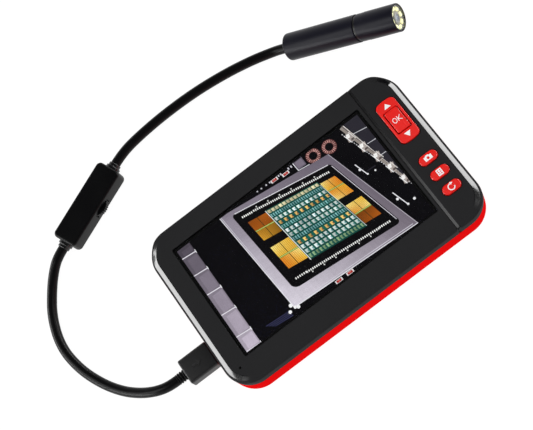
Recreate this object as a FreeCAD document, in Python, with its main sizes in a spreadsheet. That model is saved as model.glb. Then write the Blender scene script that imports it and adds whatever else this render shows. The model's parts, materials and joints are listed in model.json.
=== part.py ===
import FreeCAD, Part
import Sketcher
import math
import os

# Handheld inspection camera: a flat screen unit with five keys, a probe lead that plugs into its
# left end, an in-line dimmer on the lead and a camera head with a ring of lights.
#
# Frame: origin at the centre of the rear housing's flat back, +X along the long side towards the
# keys, +Y up the screen's short side, +Z out of the screen. Millimetres.

Vector = FreeCAD.Vector
doc = FreeCAD.newDocument("inspection_camera")
sheet = doc.addObject("Spreadsheet::Sheet", "sizes")


# ---------------------------------------------------------------- sizes

class Size:
    """A length: its number, and the expression over the sheet's cells that gives it."""

    def __init__(self, value, text):
        self.value = value
        self.text = text

    def __float__(self):
        return float(self.value)

    def __neg__(self):
        return Size(-self.value, "-1 * (%s)" % self.text)

    def __add__(self, other):
        return Size(self.value + float(other), "(%s + %s)" % (self.text, text_of(other)))

    def __radd__(self, other):
        return Size(float(other) + self.value, "(%s + %s)" % (text_of(other), self.text))

    def __sub__(self, other):
        return Size(self.value - float(other), "(%s - %s)" % (self.text, text_of(other)))

    def __rsub__(self, other):
        return Size(float(other) - self.value, "(%s - %s)" % (text_of(other), self.text))

    def __mul__(self, other):
        return Size(self.value * float(other), "(%s * %s)" % (self.text, text_of(other)))

    __rmul__ = __mul__

    def __truediv__(self, other):
        return Size(self.value / float(other), "(%s / %s)" % (self.text, text_of(other)))


def text_of(number):
    """The expression text of a Size or a plain number."""
    return number.text if isinstance(number, Size) else repr(float(number))


class Cells:
    """Writes named cells into the sheet and gives each one back as a Size."""

    def __init__(self):
        self.row = 0

    def add(self, alias, value):
        self.row += 1
        sheet.set("A%d" % self.row, alias)
        sheet.set("B%d" % self.row, repr(float(value)))
        sheet.setAlias("B%d" % self.row, alias)
        return Size(float(value), "sizes." + alias)


cell = Cells().add

# screen unit
body_length = cell("body_length", 128.4)
body_width = cell("body_width", 77.6)
body_height = cell("body_height", 18.0)
corner_radius = cell("corner_radius", 12.0)
parting_height = cell("parting_height", 12.3)
wall = cell("wall", 2.0)
rear_floor = cell("rear_floor", 2.0)
top_plate = cell("top_plate", 1.5)
rear_edge_radius = cell("rear_edge_radius", 3.0)
front_edge_radius = cell("front_edge_radius", 1.9)
lip_depth = cell("lip_depth", 1.5)
lip_thickness = cell("lip_thickness", 0.9)
lip_clearance = cell("lip_clearance", 0.15)

# screen stack
screen_end_margin = cell("screen_end_margin", 10.95)
screen_y = cell("screen_y", 0.9)
opening_length = cell("opening_length", 97.9)
opening_width = cell("opening_width", 56.7)
opening_radius = cell("opening_radius", 0.8)
window_overlap = cell("window_overlap", 1.0)
window_thickness = cell("window_thickness", 0.8)
window_recess = cell("window_recess", 0.4)
window_clearance = cell("window_clearance", 0.1)
gasket_thickness = cell("gasket_thickness", 0.3)
gasket_width = cell("gasket_width", 1.4)
panel_margin_x = cell("panel_margin_x", 1.8)
panel_margin_y = cell("panel_margin_y", 2.65)
panel_thickness = cell("panel_thickness", 1.5)
tray_thickness = cell("tray_thickness", 1.4)
panel_clearance = cell("panel_clearance", 0.1)
ribbon_width = cell("ribbon_width", 22.0)
ribbon_reach = cell("ribbon_reach", 4.0)
ribbon_thickness = cell("ribbon_thickness", 0.25)
connector_height = cell("connector_height", 1.0)
connector_margin = cell("connector_margin", 1.0)
ribbon_inset = cell("ribbon_inset", 1.6)
connector_inset = cell("connector_inset", 1.4)
groove_gap = cell("groove_gap", 1.25)
groove_width = cell("groove_width", 1.4)
groove_depth = cell("groove_depth", 0.5)

# keys
key_inset = cell("key_inset", 9.4)
key_gap = cell("key_gap", 0.25)
rocker_y = cell("rocker_y", 14.3)
rocker_width = cell("rocker_width", 9.4)
rocker_length = cell("rocker_length", 19.9)
rocker_bow = cell("rocker_bow", 0.7)
rocker_proud = cell("rocker_proud", 0.8)
rocker_depth = cell("rocker_depth", 3.4)
rocker_foot_width = cell("rocker_foot_width", 2.4)
rocker_foot_length = cell("rocker_foot_length", 2.0)
rocker_foot_gap = cell("rocker_foot_gap", 0.1)
rocker_hole_radius = cell("rocker_hole_radius", 0.6)
ok_width = cell("ok_width", 6.3)
ok_length = cell("ok_length", 10.5)
ok_proud = cell("ok_proud", 1.4)
ok_gap = cell("ok_gap", 0.4)
ok_edge = cell("ok_edge", 0.4)
ok_flange_width = cell("ok_flange_width", 0.8)
ok_flange_thickness = cell("ok_flange_thickness", 0.5)
pill_length = cell("pill_length", 8.5)
pill_width = cell("pill_width", 4.5)
pill_proud = cell("pill_proud", 0.9)
pill_first_y = cell("pill_first_y", -7.0)
pill_pitch = cell("pill_pitch", 7.95)
pill_edge = cell("pill_edge", 0.5)
flange_width = cell("flange_width", 0.75)
flange_thickness = cell("flange_thickness", 0.6)
flange_clearance = cell("flange_clearance", 0.1)
key_stem_radius = cell("key_stem_radius", 1.2)
pivot_radius = cell("pivot_radius", 0.5)
pivot_clearance = cell("pivot_clearance", 0.05)
pivot_above_base = cell("pivot_above_base", 0.8)
lug_width = cell("lug_width", 3.2)
lug_thickness = cell("lug_thickness", 1.6)
lug_depth = cell("lug_depth", 1.3)

# switches
switch_size = cell("switch_size", 4.5)
switch_height = cell("switch_height", 3.5)
switch_spacing = cell("switch_spacing", 7.9)
plunger_radius = cell("plunger_radius", 0.9)
plunger_clearance = cell("plunger_clearance", 0.1)
plunger_proud = cell("plunger_proud", 1.2)
plunger_sunk = cell("plunger_sunk", 0.9)
plunger_well = cell("plunger_well", 1.6)

# board and battery
board_bottom = cell("board_bottom", 8.6)
board_thickness = cell("board_thickness", 1.0)
board_socket_gap = cell("board_socket_gap", 0.1)
board_end_gap = cell("board_end_gap", 1.7)
board_side_gap = cell("board_side_gap", 8.8)
board_tongue_x = cell("board_tongue_x", 40.0)
board_tongue_gap = cell("board_tongue_gap", 1.3)
board_tab = cell("board_tab", 3.8)
board_tab_root = cell("board_tab_root", 3.5)
board_tab_near = cell("board_tab_near", 1.7)
board_tab_far = cell("board_tab_far", 2.3)
standoff_x = cell("standoff_x", 46.0)
standoff_y = cell("standoff_y", 24.0)
standoff_radius = cell("standoff_radius", 2.2)
board_screw_radius = cell("board_screw_radius", 0.8)
board_screw_head_radius = cell("board_screw_head_radius", 1.5)
board_screw_head_height = cell("board_screw_head_height", 1.0)
board_screw_length = cell("board_screw_length", 4.5)
board_screw_end_gap = cell("board_screw_end_gap", 0.4)
processor_size = cell("processor_size", 14.0)
processor_height = cell("processor_height", 1.4)
processor_x = cell("processor_x", -11.0)
processor_y = cell("processor_y", -1.0)
memory_length = cell("memory_length", 11.0)
memory_width = cell("memory_width", 9.0)
memory_height = cell("memory_height", 1.1)
memory_x = cell("memory_x", 9.5)
memory_y = cell("memory_y", -1.5)
coil_size = cell("coil_size", 5.0)
coil_height = cell("coil_height", 2.4)
coil_pitch = cell("coil_pitch", 6.5)
coil_x = cell("coil_x", 24.5)
coil_y = cell("coil_y", -7.5)
battery_length = cell("battery_length", 66.0)
battery_width = cell("battery_width", 42.0)
battery_thickness = cell("battery_thickness", 5.0)
battery_x = cell("battery_x", -6.0)
battery_radius = cell("battery_radius", 1.5)
pad_thickness = cell("pad_thickness", 0.5)
pad_inset = cell("pad_inset", 3.0)

# housing screws
left_boss_end_inset = cell("left_boss_end_inset", 5.6)
left_boss_side_inset = cell("left_boss_side_inset", 14.8)
right_boss_end_inset = cell("right_boss_end_inset", 7.7)
right_boss_side_inset = cell("right_boss_side_inset", 6.8)
boss_radius = cell("boss_radius", 2.8)
boss_height = cell("boss_height", 9.9)
post_step = cell("post_step", 0.4)
pilot_spare = cell("pilot_spare", 0.5)
screw_radius = cell("screw_radius", 1.0)
screw_clearance = cell("screw_clearance", 0.15)
screw_head_radius = cell("screw_head_radius", 1.9)
screw_head_height = cell("screw_head_height", 1.2)
screw_sunk = cell("screw_sunk", 1.4)
screw_length = cell("screw_length", 11.4)
cross_length = cell("cross_length", 2.4)
cross_width = cell("cross_width", 0.5)
cross_depth = cell("cross_depth", 0.6)

# light pipe and status light
pinhole_end_inset = cell("pinhole_end_inset", 6.6)
pinhole_side_inset = cell("pinhole_side_inset", 8.9)
pinhole_radius = cell("pinhole_radius", 0.55)
pipe_clearance = cell("pipe_clearance", 0.05)
pipe_flange_radius = cell("pipe_flange_radius", 1.0)
pipe_recess = cell("pipe_recess", 0.4)
led_height = cell("led_height", 0.8)
led_length = cell("led_length", 1.6)
led_width = cell("led_width", 0.8)
pipe_air_gap = cell("pipe_air_gap", 0.1)

# ports
port_length = cell("port_length", 8.5)
port_height = cell("port_height", 2.7)
port_wall = cell("port_wall", 0.3)
port_depth = cell("port_depth", 7.2)
port_tongue = cell("port_tongue", 0.7)
port_opening_gap = cell("port_opening_gap", 0.45)
port_wall_gap = cell("port_wall_gap", 0.1)
port_back = cell("port_back", 1.2)
tongue_inset = cell("tongue_inset", 1.0)
tongue_set_back = cell("tongue_set_back", 1.5)
tongue_root = cell("tongue_root", 0.6)
charge_x = cell("charge_x", -20.0)
card_x = cell("card_x", 15.0)
card_width = cell("card_width", 11.0)
card_length = cell("card_length", 15.0)
card_thickness = cell("card_thickness", 1.0)
card_clearance = cell("card_clearance", 0.15)
card_proud = cell("card_proud", 0.6)
reader_wall = cell("reader_wall", 0.35)
reader_back = cell("reader_back", 0.5)
card_radius = cell("card_radius", 0.6)

# plug
plug_y = cell("plug_y", -15.2)
plug_height = cell("plug_height", 9.0)
plug_shell_length = cell("plug_shell_length", 8.3)
plug_shell_height = cell("plug_shell_height", 2.5)
plug_shell_wall = cell("plug_shell_wall", 0.35)
plug_reach = cell("plug_reach", 7.6)
overmould_gap = cell("overmould_gap", 0.3)
overmould_length = cell("overmould_length", 14.2)
overmould_width = cell("overmould_width", 11.7)
overmould_height = cell("overmould_height", 7.0)
overmould_radius = cell("overmould_radius", 1.4)
neck_radius = cell("neck_radius", 2.45)
neck_length = cell("neck_length", 4.3)
neck_groove = cell("neck_groove", 0.35)
neck_pitch = cell("neck_pitch", 1.2)
neck_ribs = cell("neck_ribs", 3)

# cable and dimmer
cable_diameter = cell("cable_diameter", 4.5)
dimmer_x = cell("dimmer_x", -73.6)
dimmer_y = cell("dimmer_y", 75.5)
dimmer_angle = cell("dimmer_angle", 23.1)
dimmer_length = cell("dimmer_length", 38.5)
dimmer_width = cell("dimmer_width", 12.2)
dimmer_height = cell("dimmer_height", 9.0)
dimmer_wall = cell("dimmer_wall", 1.2)
dimmer_corner = cell("dimmer_corner", 2.2)
dimmer_edge = cell("dimmer_edge", 1.2)
wheel_radius = cell("wheel_radius", 5.3)
wheel_thickness = cell("wheel_thickness", 2.2)
wheel_proud = cell("wheel_proud", 1.8)
wheel_x = cell("wheel_x", 2.0)
wheel_clearance = cell("wheel_clearance", 0.35)
wheel_notch_radius = cell("wheel_notch_radius", 0.35)
wheel_notches = cell("wheel_notches", 30)
wheel_pot_gap = cell("wheel_pot_gap", 0.2)
axle_below = cell("axle_below", 0.15)
axle_entry = cell("axle_entry", 0.4)
axle_radius = cell("axle_radius", 1.0)
axle_clearance = cell("axle_clearance", 0.05)
pot_radius = cell("pot_radius", 3.2)
pot_offset = cell("pot_offset", 1.2)
pot_height = cell("pot_height", 0.9)
dimmer_board_thickness = cell("dimmer_board_thickness", 0.8)
dimmer_board_gap = cell("dimmer_board_gap", 0.3)
dimmer_board_radius = cell("dimmer_board_radius", 0.8)
bush_radius = cell("bush_radius", 3.2)
bush_step = cell("bush_step", 1.3)
bush_neck_radius = cell("bush_neck_radius", 2.7)
bush_seat_radius = cell("bush_seat_radius", 2.3)

# camera head
head_x = cell("head_x", 39.3)
head_y = cell("head_y", 77.5)
head_turn = cell("head_turn", -35.0)
head_tilt = cell("head_tilt", 21.0)
head_radius = cell("head_radius", 6.1)
head_heel_radius = cell("head_heel_radius", 2.0)
barrel_length = cell("barrel_length", 35.6)
sleeve_length = cell("sleeve_length", 18.6)
seal_length = cell("seal_length", 1.1)
seal_sink = cell("seal_sink", 0.25)
collar_length = cell("collar_length", 3.6)
collar_step = cell("collar_step", 0.1)
head_wall = cell("head_wall", 0.7)
spigot_length = cell("spigot_length", 5.0)
spigot_radius = cell("spigot_radius", 5.2)
gland_radius = cell("gland_radius", 2.9)
gland_length = cell("gland_length", 2.0)
gland_lip = cell("gland_lip", 0.2)
gland_taper = cell("gland_taper", 0.5)
barrel_rear_wall = cell("barrel_rear_wall", 2.4)
face_recess = cell("face_recess", 0.25)
face_glass = cell("face_glass", 0.8)
light_board_gap = cell("light_board_gap", 0.7)
light_board_thickness = cell("light_board_thickness", 0.8)
light_count = cell("light_count", 8)
light_ring_radius = cell("light_ring_radius", 4.05)
light_length = cell("light_length", 1.9)
light_width = cell("light_width", 1.5)
light_height = cell("light_height", 0.55)
lens_radius = cell("lens_radius", 2.3)
lens_length = cell("lens_length", 6.0)
lens_clearance = cell("lens_clearance", 0.1)
lens_cup_radius = cell("lens_cup_radius", 1.38)
lens_stop_radius = cell("lens_stop_radius", 1.035)
lens_cup_depth = cell("lens_cup_depth", 0.5)
sensor_thickness = cell("sensor_thickness", 0.8)
sensor_length = cell("sensor_length", 7.0)
sensor_width = cell("sensor_width", 5.6)
sensor_radius = cell("sensor_radius", 0.4)

doc.recompute()

# levels and places worked out from the sheet
half_length = body_length / 2
half_width = body_width / 2
screen_x = -half_length + screen_end_margin + opening_length / 2
plate_under = body_height - top_plate
window_top = body_height - window_recess
window_under = window_top - window_thickness
window_length = opening_length + 2 * window_overlap
window_width = opening_width + 2 * window_overlap
panel_top = plate_under - panel_clearance
tray_top = panel_top - panel_thickness
tray_under = tray_top - tray_thickness
panel_length = opening_length + 2 * panel_margin_x
panel_width = opening_width + 2 * panel_margin_y
groove_x = screen_x + opening_length / 2 + groove_gap + groove_width / 2
key_x = half_length - key_inset
board_top = board_bottom + board_thickness
switch_top = board_top + switch_height
plunger_top = switch_top + plunger_proud
rocker_top = body_height + rocker_proud
rocker_under = rocker_top - rocker_depth
pivot_z = rocker_under + pivot_above_base
flange_top = plate_under - flange_clearance
socket_x = -half_length + wall + port_wall_gap
socket_y = -half_width + wall + port_wall_gap
board_left = -socket_x - port_depth - board_socket_gap
board_right = half_length - wall - board_end_gap
board_half_width = half_width - wall - board_side_gap
board_tongue_y = half_width - wall - board_tongue_gap
pinhole_x = -half_length + pinhole_end_inset
pinhole_y = -half_width + pinhole_side_inset
left_boss_x = half_length - left_boss_end_inset
left_boss_y = half_width - left_boss_side_inset
right_boss_x = half_length - right_boss_end_inset
right_boss_y = half_width - right_boss_side_inset
CORNERS = (
    (-left_boss_x, left_boss_y),
    (-left_boss_x, -left_boss_y),
    (right_boss_x, right_boss_y),
    (right_boss_x, -right_boss_y),
)
STANDOFFS = (
    (standoff_x, standoff_y),
    (standoff_x, -standoff_y),
    (-standoff_x, standoff_y),
    (-standoff_x, -standoff_y),
)


# ---------------------------------------------------------------- shared builders

nodes = []


def bind(thing, prop, size):
    """Ties one property to a Size, or sets it when it is a plain number."""
    if isinstance(size, Size):
        thing.setExpression(prop, size.text)
    else:
        thing.setExpression(prop, repr(float(size)))


def new_body(name, placement=None):
    body = doc.addObject("PartDesign::Body", name)
    body.Label = name
    if placement is not None:
        body.Placement = placement
    nodes.append(body)
    return body


def new_sketch(body, plane, x=0.0, y=0.0, z=0.0):
    """A sketch on one of the body's planes, moved by x and y in it and by z off it."""
    sketch = body.newObject("Sketcher::SketchObject", "outline")
    sketch.AttachmentSupport = [(role_plane(body, plane), "")]
    sketch.MapMode = "FlatFace"
    for axis, value in (("x", x), ("y", y), ("z", z)):
        bind(sketch, "AttachmentOffset.Base." + axis, value)
    return sketch


def role_plane(body, plane):
    for feature in body.Origin.OriginFeatures:
        if feature.Role == plane:
            return feature
    raise ValueError("no plane " + plane)


def dimension(sketch, kind, geometry, point, size):
    """One bound DistanceX, DistanceY or Radius; a zero distance puts the point on the axis."""
    if kind == "Radius":
        index = sketch.addConstraint(Sketcher.Constraint("Radius", geometry, float(size)))
    elif abs(float(size)) < 1e-9:
        axis = -2 if kind == "DistanceX" else -1
        sketch.addConstraint(Sketcher.Constraint("PointOnObject", geometry, point, axis))
        return
    else:
        index = sketch.addConstraint(Sketcher.Constraint(kind, -1, 1, geometry, point, float(size)))
    if isinstance(size, Size):
        sketch.setExpression("Constraints[%d]" % index, size.text)


def locate(sketch, geometry, point, x, y):
    dimension(sketch, "DistanceX", geometry, point, x)
    dimension(sketch, "DistanceY", geometry, point, y)


def add_polygon(sketch, points):
    """A closed polygon whose every corner is tied to the sheet."""
    first = sketch.GeometryCount
    spots = [Vector(float(x), float(y), 0) for x, y in points]
    count = len(spots)
    for i in range(count):
        sketch.addGeometry(Part.LineSegment(spots[i], spots[(i + 1) % count]), False)
    for i in range(count):
        sketch.addConstraint(Sketcher.Constraint("Coincident", first + i, 2, first + (i + 1) % count, 1))
    for i, (x, y) in enumerate(points):
        locate(sketch, first + i, 1, x, y)


def add_circle(sketch, x, y, radius):
    circle = Part.Circle(Vector(float(x), float(y), 0), Vector(0, 0, 1), float(radius))
    index = sketch.addGeometry(circle, False)
    locate(sketch, index, 3, x, y)
    dimension(sketch, "Radius", index, 3, radius)


def add_rounded(sketch, width, depth, radius):
    """A rectangle with round corners, centred on the sketch's origin."""
    first = sketch.GeometryCount
    x = width / 2 - radius
    y = depth / 2 - radius
    edge_x = float(width) / 2
    edge_y = float(depth) / 2
    fx, fy = float(x), float(y)
    lines = (
        ((-fx, -edge_y), (fx, -edge_y)),
        ((edge_x, -fy), (edge_x, fy)),
        ((fx, edge_y), (-fx, edge_y)),
        ((-edge_x, fy), (-edge_x, -fy)),
    )
    centres = ((x, -y), (x, y), (-x, y), (-x, -y))
    for (x0, y0), (x1, y1) in lines:
        sketch.addGeometry(Part.LineSegment(Vector(x0, y0, 0), Vector(x1, y1, 0)), False)
    for i, (cx, cy) in enumerate(centres):
        circle = Part.Circle(Vector(float(cx), float(cy), 0), Vector(0, 0, 1), float(radius))
        start = math.radians(-90 + 90 * i)
        sketch.addGeometry(Part.ArcOfCircle(circle, start, start + math.pi / 2), False)
    for i in range(4):
        arc = first + 4 + i
        sketch.addConstraint(Sketcher.Constraint("Tangent", first + i, 2, arc, 1))
        sketch.addConstraint(Sketcher.Constraint("Tangent", arc, 2, first + (i + 1) % 4, 1))
        locate(sketch, arc, 3, centres[i][0], centres[i][1])
        if i:
            sketch.addConstraint(Sketcher.Constraint("Equal", first + 4, arc))
    dimension(sketch, "Radius", first + 4, 3, radius)


def add_stadium(sketch, length, width):
    """A slot shape along the sketch's X: two straight sides and two half circles."""
    first = sketch.GeometryCount
    radius = width / 2
    reach = length / 2 - radius
    fx, fr = float(reach), float(radius)
    sketch.addGeometry(Part.LineSegment(Vector(-fx, -fr, 0), Vector(fx, -fr, 0)), False)
    sketch.addGeometry(Part.LineSegment(Vector(fx, fr, 0), Vector(-fx, fr, 0)), False)
    for centre, start in ((fx, -math.pi / 2), (-fx, math.pi / 2)):
        circle = Part.Circle(Vector(centre, 0, 0), Vector(0, 0, 1), fr)
        sketch.addGeometry(Part.ArcOfCircle(circle, start, start + math.pi), False)
    for line, arc, other in ((0, 2, 1), (1, 3, 0)):
        sketch.addConstraint(Sketcher.Constraint("Tangent", first + line, 2, first + arc, 1))
        sketch.addConstraint(Sketcher.Constraint("Tangent", first + arc, 2, first + other, 1))
    locate(sketch, first + 2, 3, reach, 0)
    locate(sketch, first + 3, 3, -reach, 0)
    sketch.addConstraint(Sketcher.Constraint("Equal", first + 2, first + 3))
    dimension(sketch, "Radius", first + 2, 3, radius)


def add_bowed(sketch, width, length, bow):
    """A rectangle along the sketch's Y whose two short ends bulge outwards by the bow."""
    first = sketch.GeometryCount
    fx, fy, fb = float(width) / 2, float(length) / 2, float(bow)
    sketch.addGeometry(Part.LineSegment(Vector(fx, -fy, 0), Vector(fx, fy, 0)), False)
    sketch.addGeometry(Part.LineSegment(Vector(-fx, fy, 0), Vector(-fx, -fy, 0)), False)
    for side in (1, -1):
        arc = Part.Arc(Vector(side * fx, side * fy, 0), Vector(0, side * (fy + fb), 0),
                       Vector(-side * fx, side * fy, 0))
        sketch.addGeometry(arc, False)
    radius = (width * width / 4 + bow * bow) / (2 * bow)
    for side, line, other, arc in ((1, 0, 1, 2), (-1, 1, 0, 3)):
        sketch.addConstraint(Sketcher.Constraint("Coincident", first + line, 2, first + arc, 1))
        sketch.addConstraint(Sketcher.Constraint("Coincident", first + arc, 2, first + other, 1))
        locate(sketch, first + line, 1, side * width / 2, -side * length / 2)
        dimension(sketch, "Radius", first + arc, 3, radius)


def pad(body, sketch, length, middle=False):
    feature = body.newObject("PartDesign::Pad", "pad")
    feature.Profile = sketch
    bind(feature, "Length", length)
    if middle:
        feature.SideType = "Symmetric"
    return feature


def pocket(body, sketch, depth):
    """A cut as deep as given, half on each side of its sketch."""
    feature = body.newObject("PartDesign::Pocket", "pocket")
    feature.Profile = sketch
    feature.SideType = "Symmetric"
    bind(feature, "Length", depth)
    return feature


def revolve(body, points):
    """A solid of revolution about the body's X axis, from (x, radius) corners."""
    sketch = new_sketch(body, "XZ_Plane")
    add_polygon(sketch, points)
    feature = body.newObject("PartDesign::Revolution", "turned")
    feature.Profile = sketch
    feature.ReferenceAxis = (sketch, ["H_Axis"])
    feature.Angle = 360
    return feature


def dress(body, kind, size, wanted):
    """A Fillet or Chamfer on the edges of the body's tip that the test picks."""
    doc.recompute()
    base = body.Tip
    names = ["Edge%d" % (i + 1) for i, edge in enumerate(base.Shape.Edges) if wanted(edge)]
    if not names:
        raise ValueError("no edges to dress on " + body.Label)
    feature = body.newObject("PartDesign::" + kind, kind.lower())
    feature.Base = (base, names)
    bind(feature, "Radius" if kind == "Fillet" else "Size", size)
    return feature


def near(value, size, slack=0.01):
    return abs(value - float(size)) < slack


def level_edge(height):
    """Tests for an edge that lies whole at one height."""
    return lambda edge: near(edge.BoundBox.ZMin, height) and near(edge.BoundBox.ZMax, height)


def block(name, x, y, z, length, width, height):
    """A plain box piece with its low corner at x, y, z."""
    piece = doc.addObject("Part::Box", name)
    piece.Label = name
    for prop, value in (("Length", length), ("Width", width), ("Height", height)):
        bind(piece, prop, value)
    for axis, value in (("x", x), ("y", y), ("z", z)):
        bind(piece, "Placement.Base." + axis, value)
    return piece


def rod(name, x, y, z, radius, height, axis="z"):
    """A plain cylinder along Z or X from x, y, z."""
    piece = doc.addObject("Part::Cylinder", name)
    piece.Label = name
    bind(piece, "Radius", radius)
    bind(piece, "Height", height)
    if axis == "x":
        piece.Placement.Rotation = FreeCAD.Rotation(Vector(0, 1, 0), 90)
    for part_axis, value in (("x", x), ("y", y), ("z", z)):
        bind(piece, "Placement.Base." + part_axis, value)
    return piece


def joined(name, pieces):
    """Several solids as one sub-part: they fuse where they touch and stay apart where not."""
    piece = doc.addObject("Part::MultiFuse", name)
    piece.Label = name
    piece.Shapes = pieces
    nodes.append(piece)
    return piece


def less(name, base, tool):
    piece = doc.addObject("Part::Cut", name)
    piece.Label = name
    piece.Base = base
    piece.Tool = tool
    return piece


# ---------------------------------------------------------------- screen unit: housings

def rear_housing():
    """Red tray: floor, walls, four screw bosses, four board standoffs and the port openings."""
    body = new_body("rear_housing")
    outline = new_sketch(body, "XY_Plane")
    add_rounded(outline, body_length, body_width, corner_radius)
    pad(body, outline, parting_height)
    dress(body, "Fillet", rear_edge_radius, level_edge(0))
    cavity_depth = parting_height - rear_floor
    cavity = new_sketch(body, "XY_Plane", z=parting_height)
    add_rounded(cavity, body_length - 2 * wall, body_width - 2 * wall, corner_radius - wall)
    pocket(body, cavity, 2 * cavity_depth)

    bosses = new_sketch(body, "XY_Plane", z=rear_floor)
    for x, y in CORNERS:
        add_circle(bosses, x, y, boss_radius)
    pad(body, bosses, boss_height - rear_floor)
    heads = new_sketch(body, "XY_Plane")
    for x, y in CORNERS:
        add_circle(heads, x, y, screw_head_radius + screw_clearance)
    pocket(body, heads, 2 * (screw_sunk + screw_head_height))
    holes = new_sketch(body, "XY_Plane")
    for x, y in CORNERS:
        add_circle(holes, x, y, screw_radius + screw_clearance)
    pocket(body, holes, 2 * boss_height + 2)

    posts = new_sketch(body, "XY_Plane", z=rear_floor)
    for x, y in STANDOFFS:
        add_circle(posts, x, y, standoff_radius)
    pad(body, posts, board_bottom - rear_floor)
    pilots = new_sketch(body, "XY_Plane", z=board_bottom)
    for x, y in STANDOFFS:
        add_circle(pilots, x, y, board_screw_radius)
    pocket(body, pilots, 2 * board_screw_length)

    probe = new_sketch(body, "YZ_Plane", plug_y, plug_height, -half_length + wall / 2)
    add_stadium(probe, port_length + 2 * port_opening_gap, port_height + 2 * port_opening_gap)
    pocket(body, probe, wall + 1)
    charge = new_sketch(body, "XZ_Plane", charge_x, charge_z, -half_width + wall / 2)
    add_stadium(charge, port_length + 2 * port_opening_gap, port_height + 2 * port_opening_gap)
    pocket(body, charge, wall + 1)
    slot = new_sketch(body, "XZ_Plane", card_x, card_z, -half_width + wall / 2)
    add_stadium(slot, card_width + 2 * port_opening_gap, card_thickness + 2 * port_opening_gap)
    pocket(body, slot, wall + 1)
    return body


def front_housing():
    """Black bezel: top plate with the screen and key openings, walls, lip, posts and lugs."""
    body = new_body("front_housing")
    outline = new_sketch(body, "XY_Plane", z=parting_height)
    add_rounded(outline, body_length, body_width, corner_radius)
    pad(body, outline, body_height - parting_height)
    dress(body, "Fillet", front_edge_radius, level_edge(body_height))
    inside = new_sketch(body, "XY_Plane", z=parting_height)
    add_rounded(inside, body_length - 2 * wall, body_width - 2 * wall, corner_radius - wall)
    pocket(body, inside, 2 * (plate_under - parting_height))

    gap = wall + lip_clearance
    lip = new_sketch(body, "XY_Plane", z=parting_height - lip_depth)
    add_rounded(lip, body_length - 2 * gap, body_width - 2 * gap, corner_radius - gap)
    inner = gap + lip_thickness
    add_rounded(lip, body_length - 2 * inner, body_width - 2 * inner, corner_radius - inner)
    pad(body, lip, lip_depth)
    rim = new_sketch(body, "XY_Plane", z=parting_height)
    add_rounded(rim, body_length - 2 * wall, body_width - 2 * wall, corner_radius - wall)
    add_rounded(rim, body_length - 2 * inner, body_width - 2 * inner, corner_radius - inner)
    pad(body, rim, lip_depth)

    opening = new_sketch(body, "XY_Plane", screen_x, screen_y, body_height)
    add_rounded(opening, opening_length, opening_width, opening_radius)
    pocket(body, opening, 2 * top_plate + 1)
    rebate = new_sketch(body, "XY_Plane", screen_x, screen_y, plate_under)
    slack = 2 * window_clearance
    add_rounded(rebate, window_length + slack, window_width + slack, opening_radius)
    pocket(body, rebate, 2 * (window_top - plate_under))

    groove = new_sketch(body, "XZ_Plane", groove_x, body_height)
    add_polygon(groove, ((-groove_width / 2, 0), (0, -groove_depth), (groove_width / 2, 0),
                         (0, groove_depth)))
    pocket(body, groove, body_width + 2)

    nav = new_sketch(body, "XY_Plane", key_x, rocker_y, body_height)
    add_bowed(nav, rocker_width + 2 * key_gap, rocker_length + 2 * key_gap, rocker_bow)
    pocket(body, nav, 2 * top_plate + 1)
    for i in range(3):
        pill = new_sketch(body, "XY_Plane", key_x, pill_y(i), body_height)
        add_stadium(pill, pill_length + 2 * key_gap, pill_width + 2 * key_gap)
        pocket(body, pill, 2 * top_plate + 1)
    pinhole = new_sketch(body, "XY_Plane", z=body_height)
    add_circle(pinhole, pinhole_x, pinhole_y, pinhole_radius)
    pocket(body, pinhole, 2 * top_plate + 1)

    posts = new_sketch(body, "XY_Plane", z=boss_height)
    for x, y in CORNERS:
        add_circle(posts, x, y, boss_radius - post_step)
    pad(body, posts, plate_under - boss_height)
    pilots = new_sketch(body, "XY_Plane", z=boss_height)
    for x, y in CORNERS:
        add_circle(pilots, x, y, screw_radius)
    screw_end = screw_sunk + screw_head_height + screw_length
    pocket(body, pilots, 2 * (screw_end - boss_height + pilot_spare))

    for side in (-1, 1):
        centre = key_x + side * (rocker_width / 2 + key_gap + lug_thickness / 2)
        lug = new_sketch(body, "XY_Plane", centre, rocker_y, plate_under - lug_depth)
        add_polygon(lug, ((-lug_thickness / 2, -lug_width / 2), (lug_thickness / 2, -lug_width / 2),
                          (lug_thickness / 2, lug_width / 2), (-lug_thickness / 2, lug_width / 2)))
        pad(body, lug, lug_depth)
        pin = new_sketch(body, "YZ_Plane", rocker_y, pivot_z, centre)
        add_circle(pin, 0, 0, pivot_radius)
        pocket(body, pin, lug_thickness)
    return body


def pill_y(index):
    return pill_first_y - index * pill_pitch


def housing_screws():
    """Four pan screws that hold the two housings together, from the back."""
    pieces = []
    seat = screw_sunk + screw_head_height
    for i, (x, y) in enumerate(CORNERS):
        pieces.append(rod("screw_head_%d" % i, x, y, screw_sunk, screw_head_radius, screw_head_height))
        pieces.append(rod("screw_shank_%d" % i, x, y, seat, screw_radius, screw_length))
    arms = []
    for i, (x, y) in enumerate(CORNERS):
        for turn, (dx, dy) in enumerate(((cross_length, cross_width), (cross_width, cross_length))):
            arms.append(block("cross_arm_%d_%d" % (i, turn), x - dx / 2, y - dy / 2, screw_sunk,
                              dx, dy, cross_depth))
    solid = doc.addObject("Part::MultiFuse", "screw_blanks")
    solid.Shapes = pieces
    cross = doc.addObject("Part::MultiFuse", "screw_crosses")
    cross.Shapes = arms
    nodes.append(less("housing_screws", solid, cross))


# ---------------------------------------------------------------- screen unit: screen stack

def screen_window():
    """Clear cover of the screen, held in the bezel's rebate."""
    body = new_body("screen_window")
    outline = new_sketch(body, "XY_Plane", screen_x, screen_y, window_under)
    add_rounded(outline, window_length, window_width, opening_radius)
    pad(body, outline, window_thickness)


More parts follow.
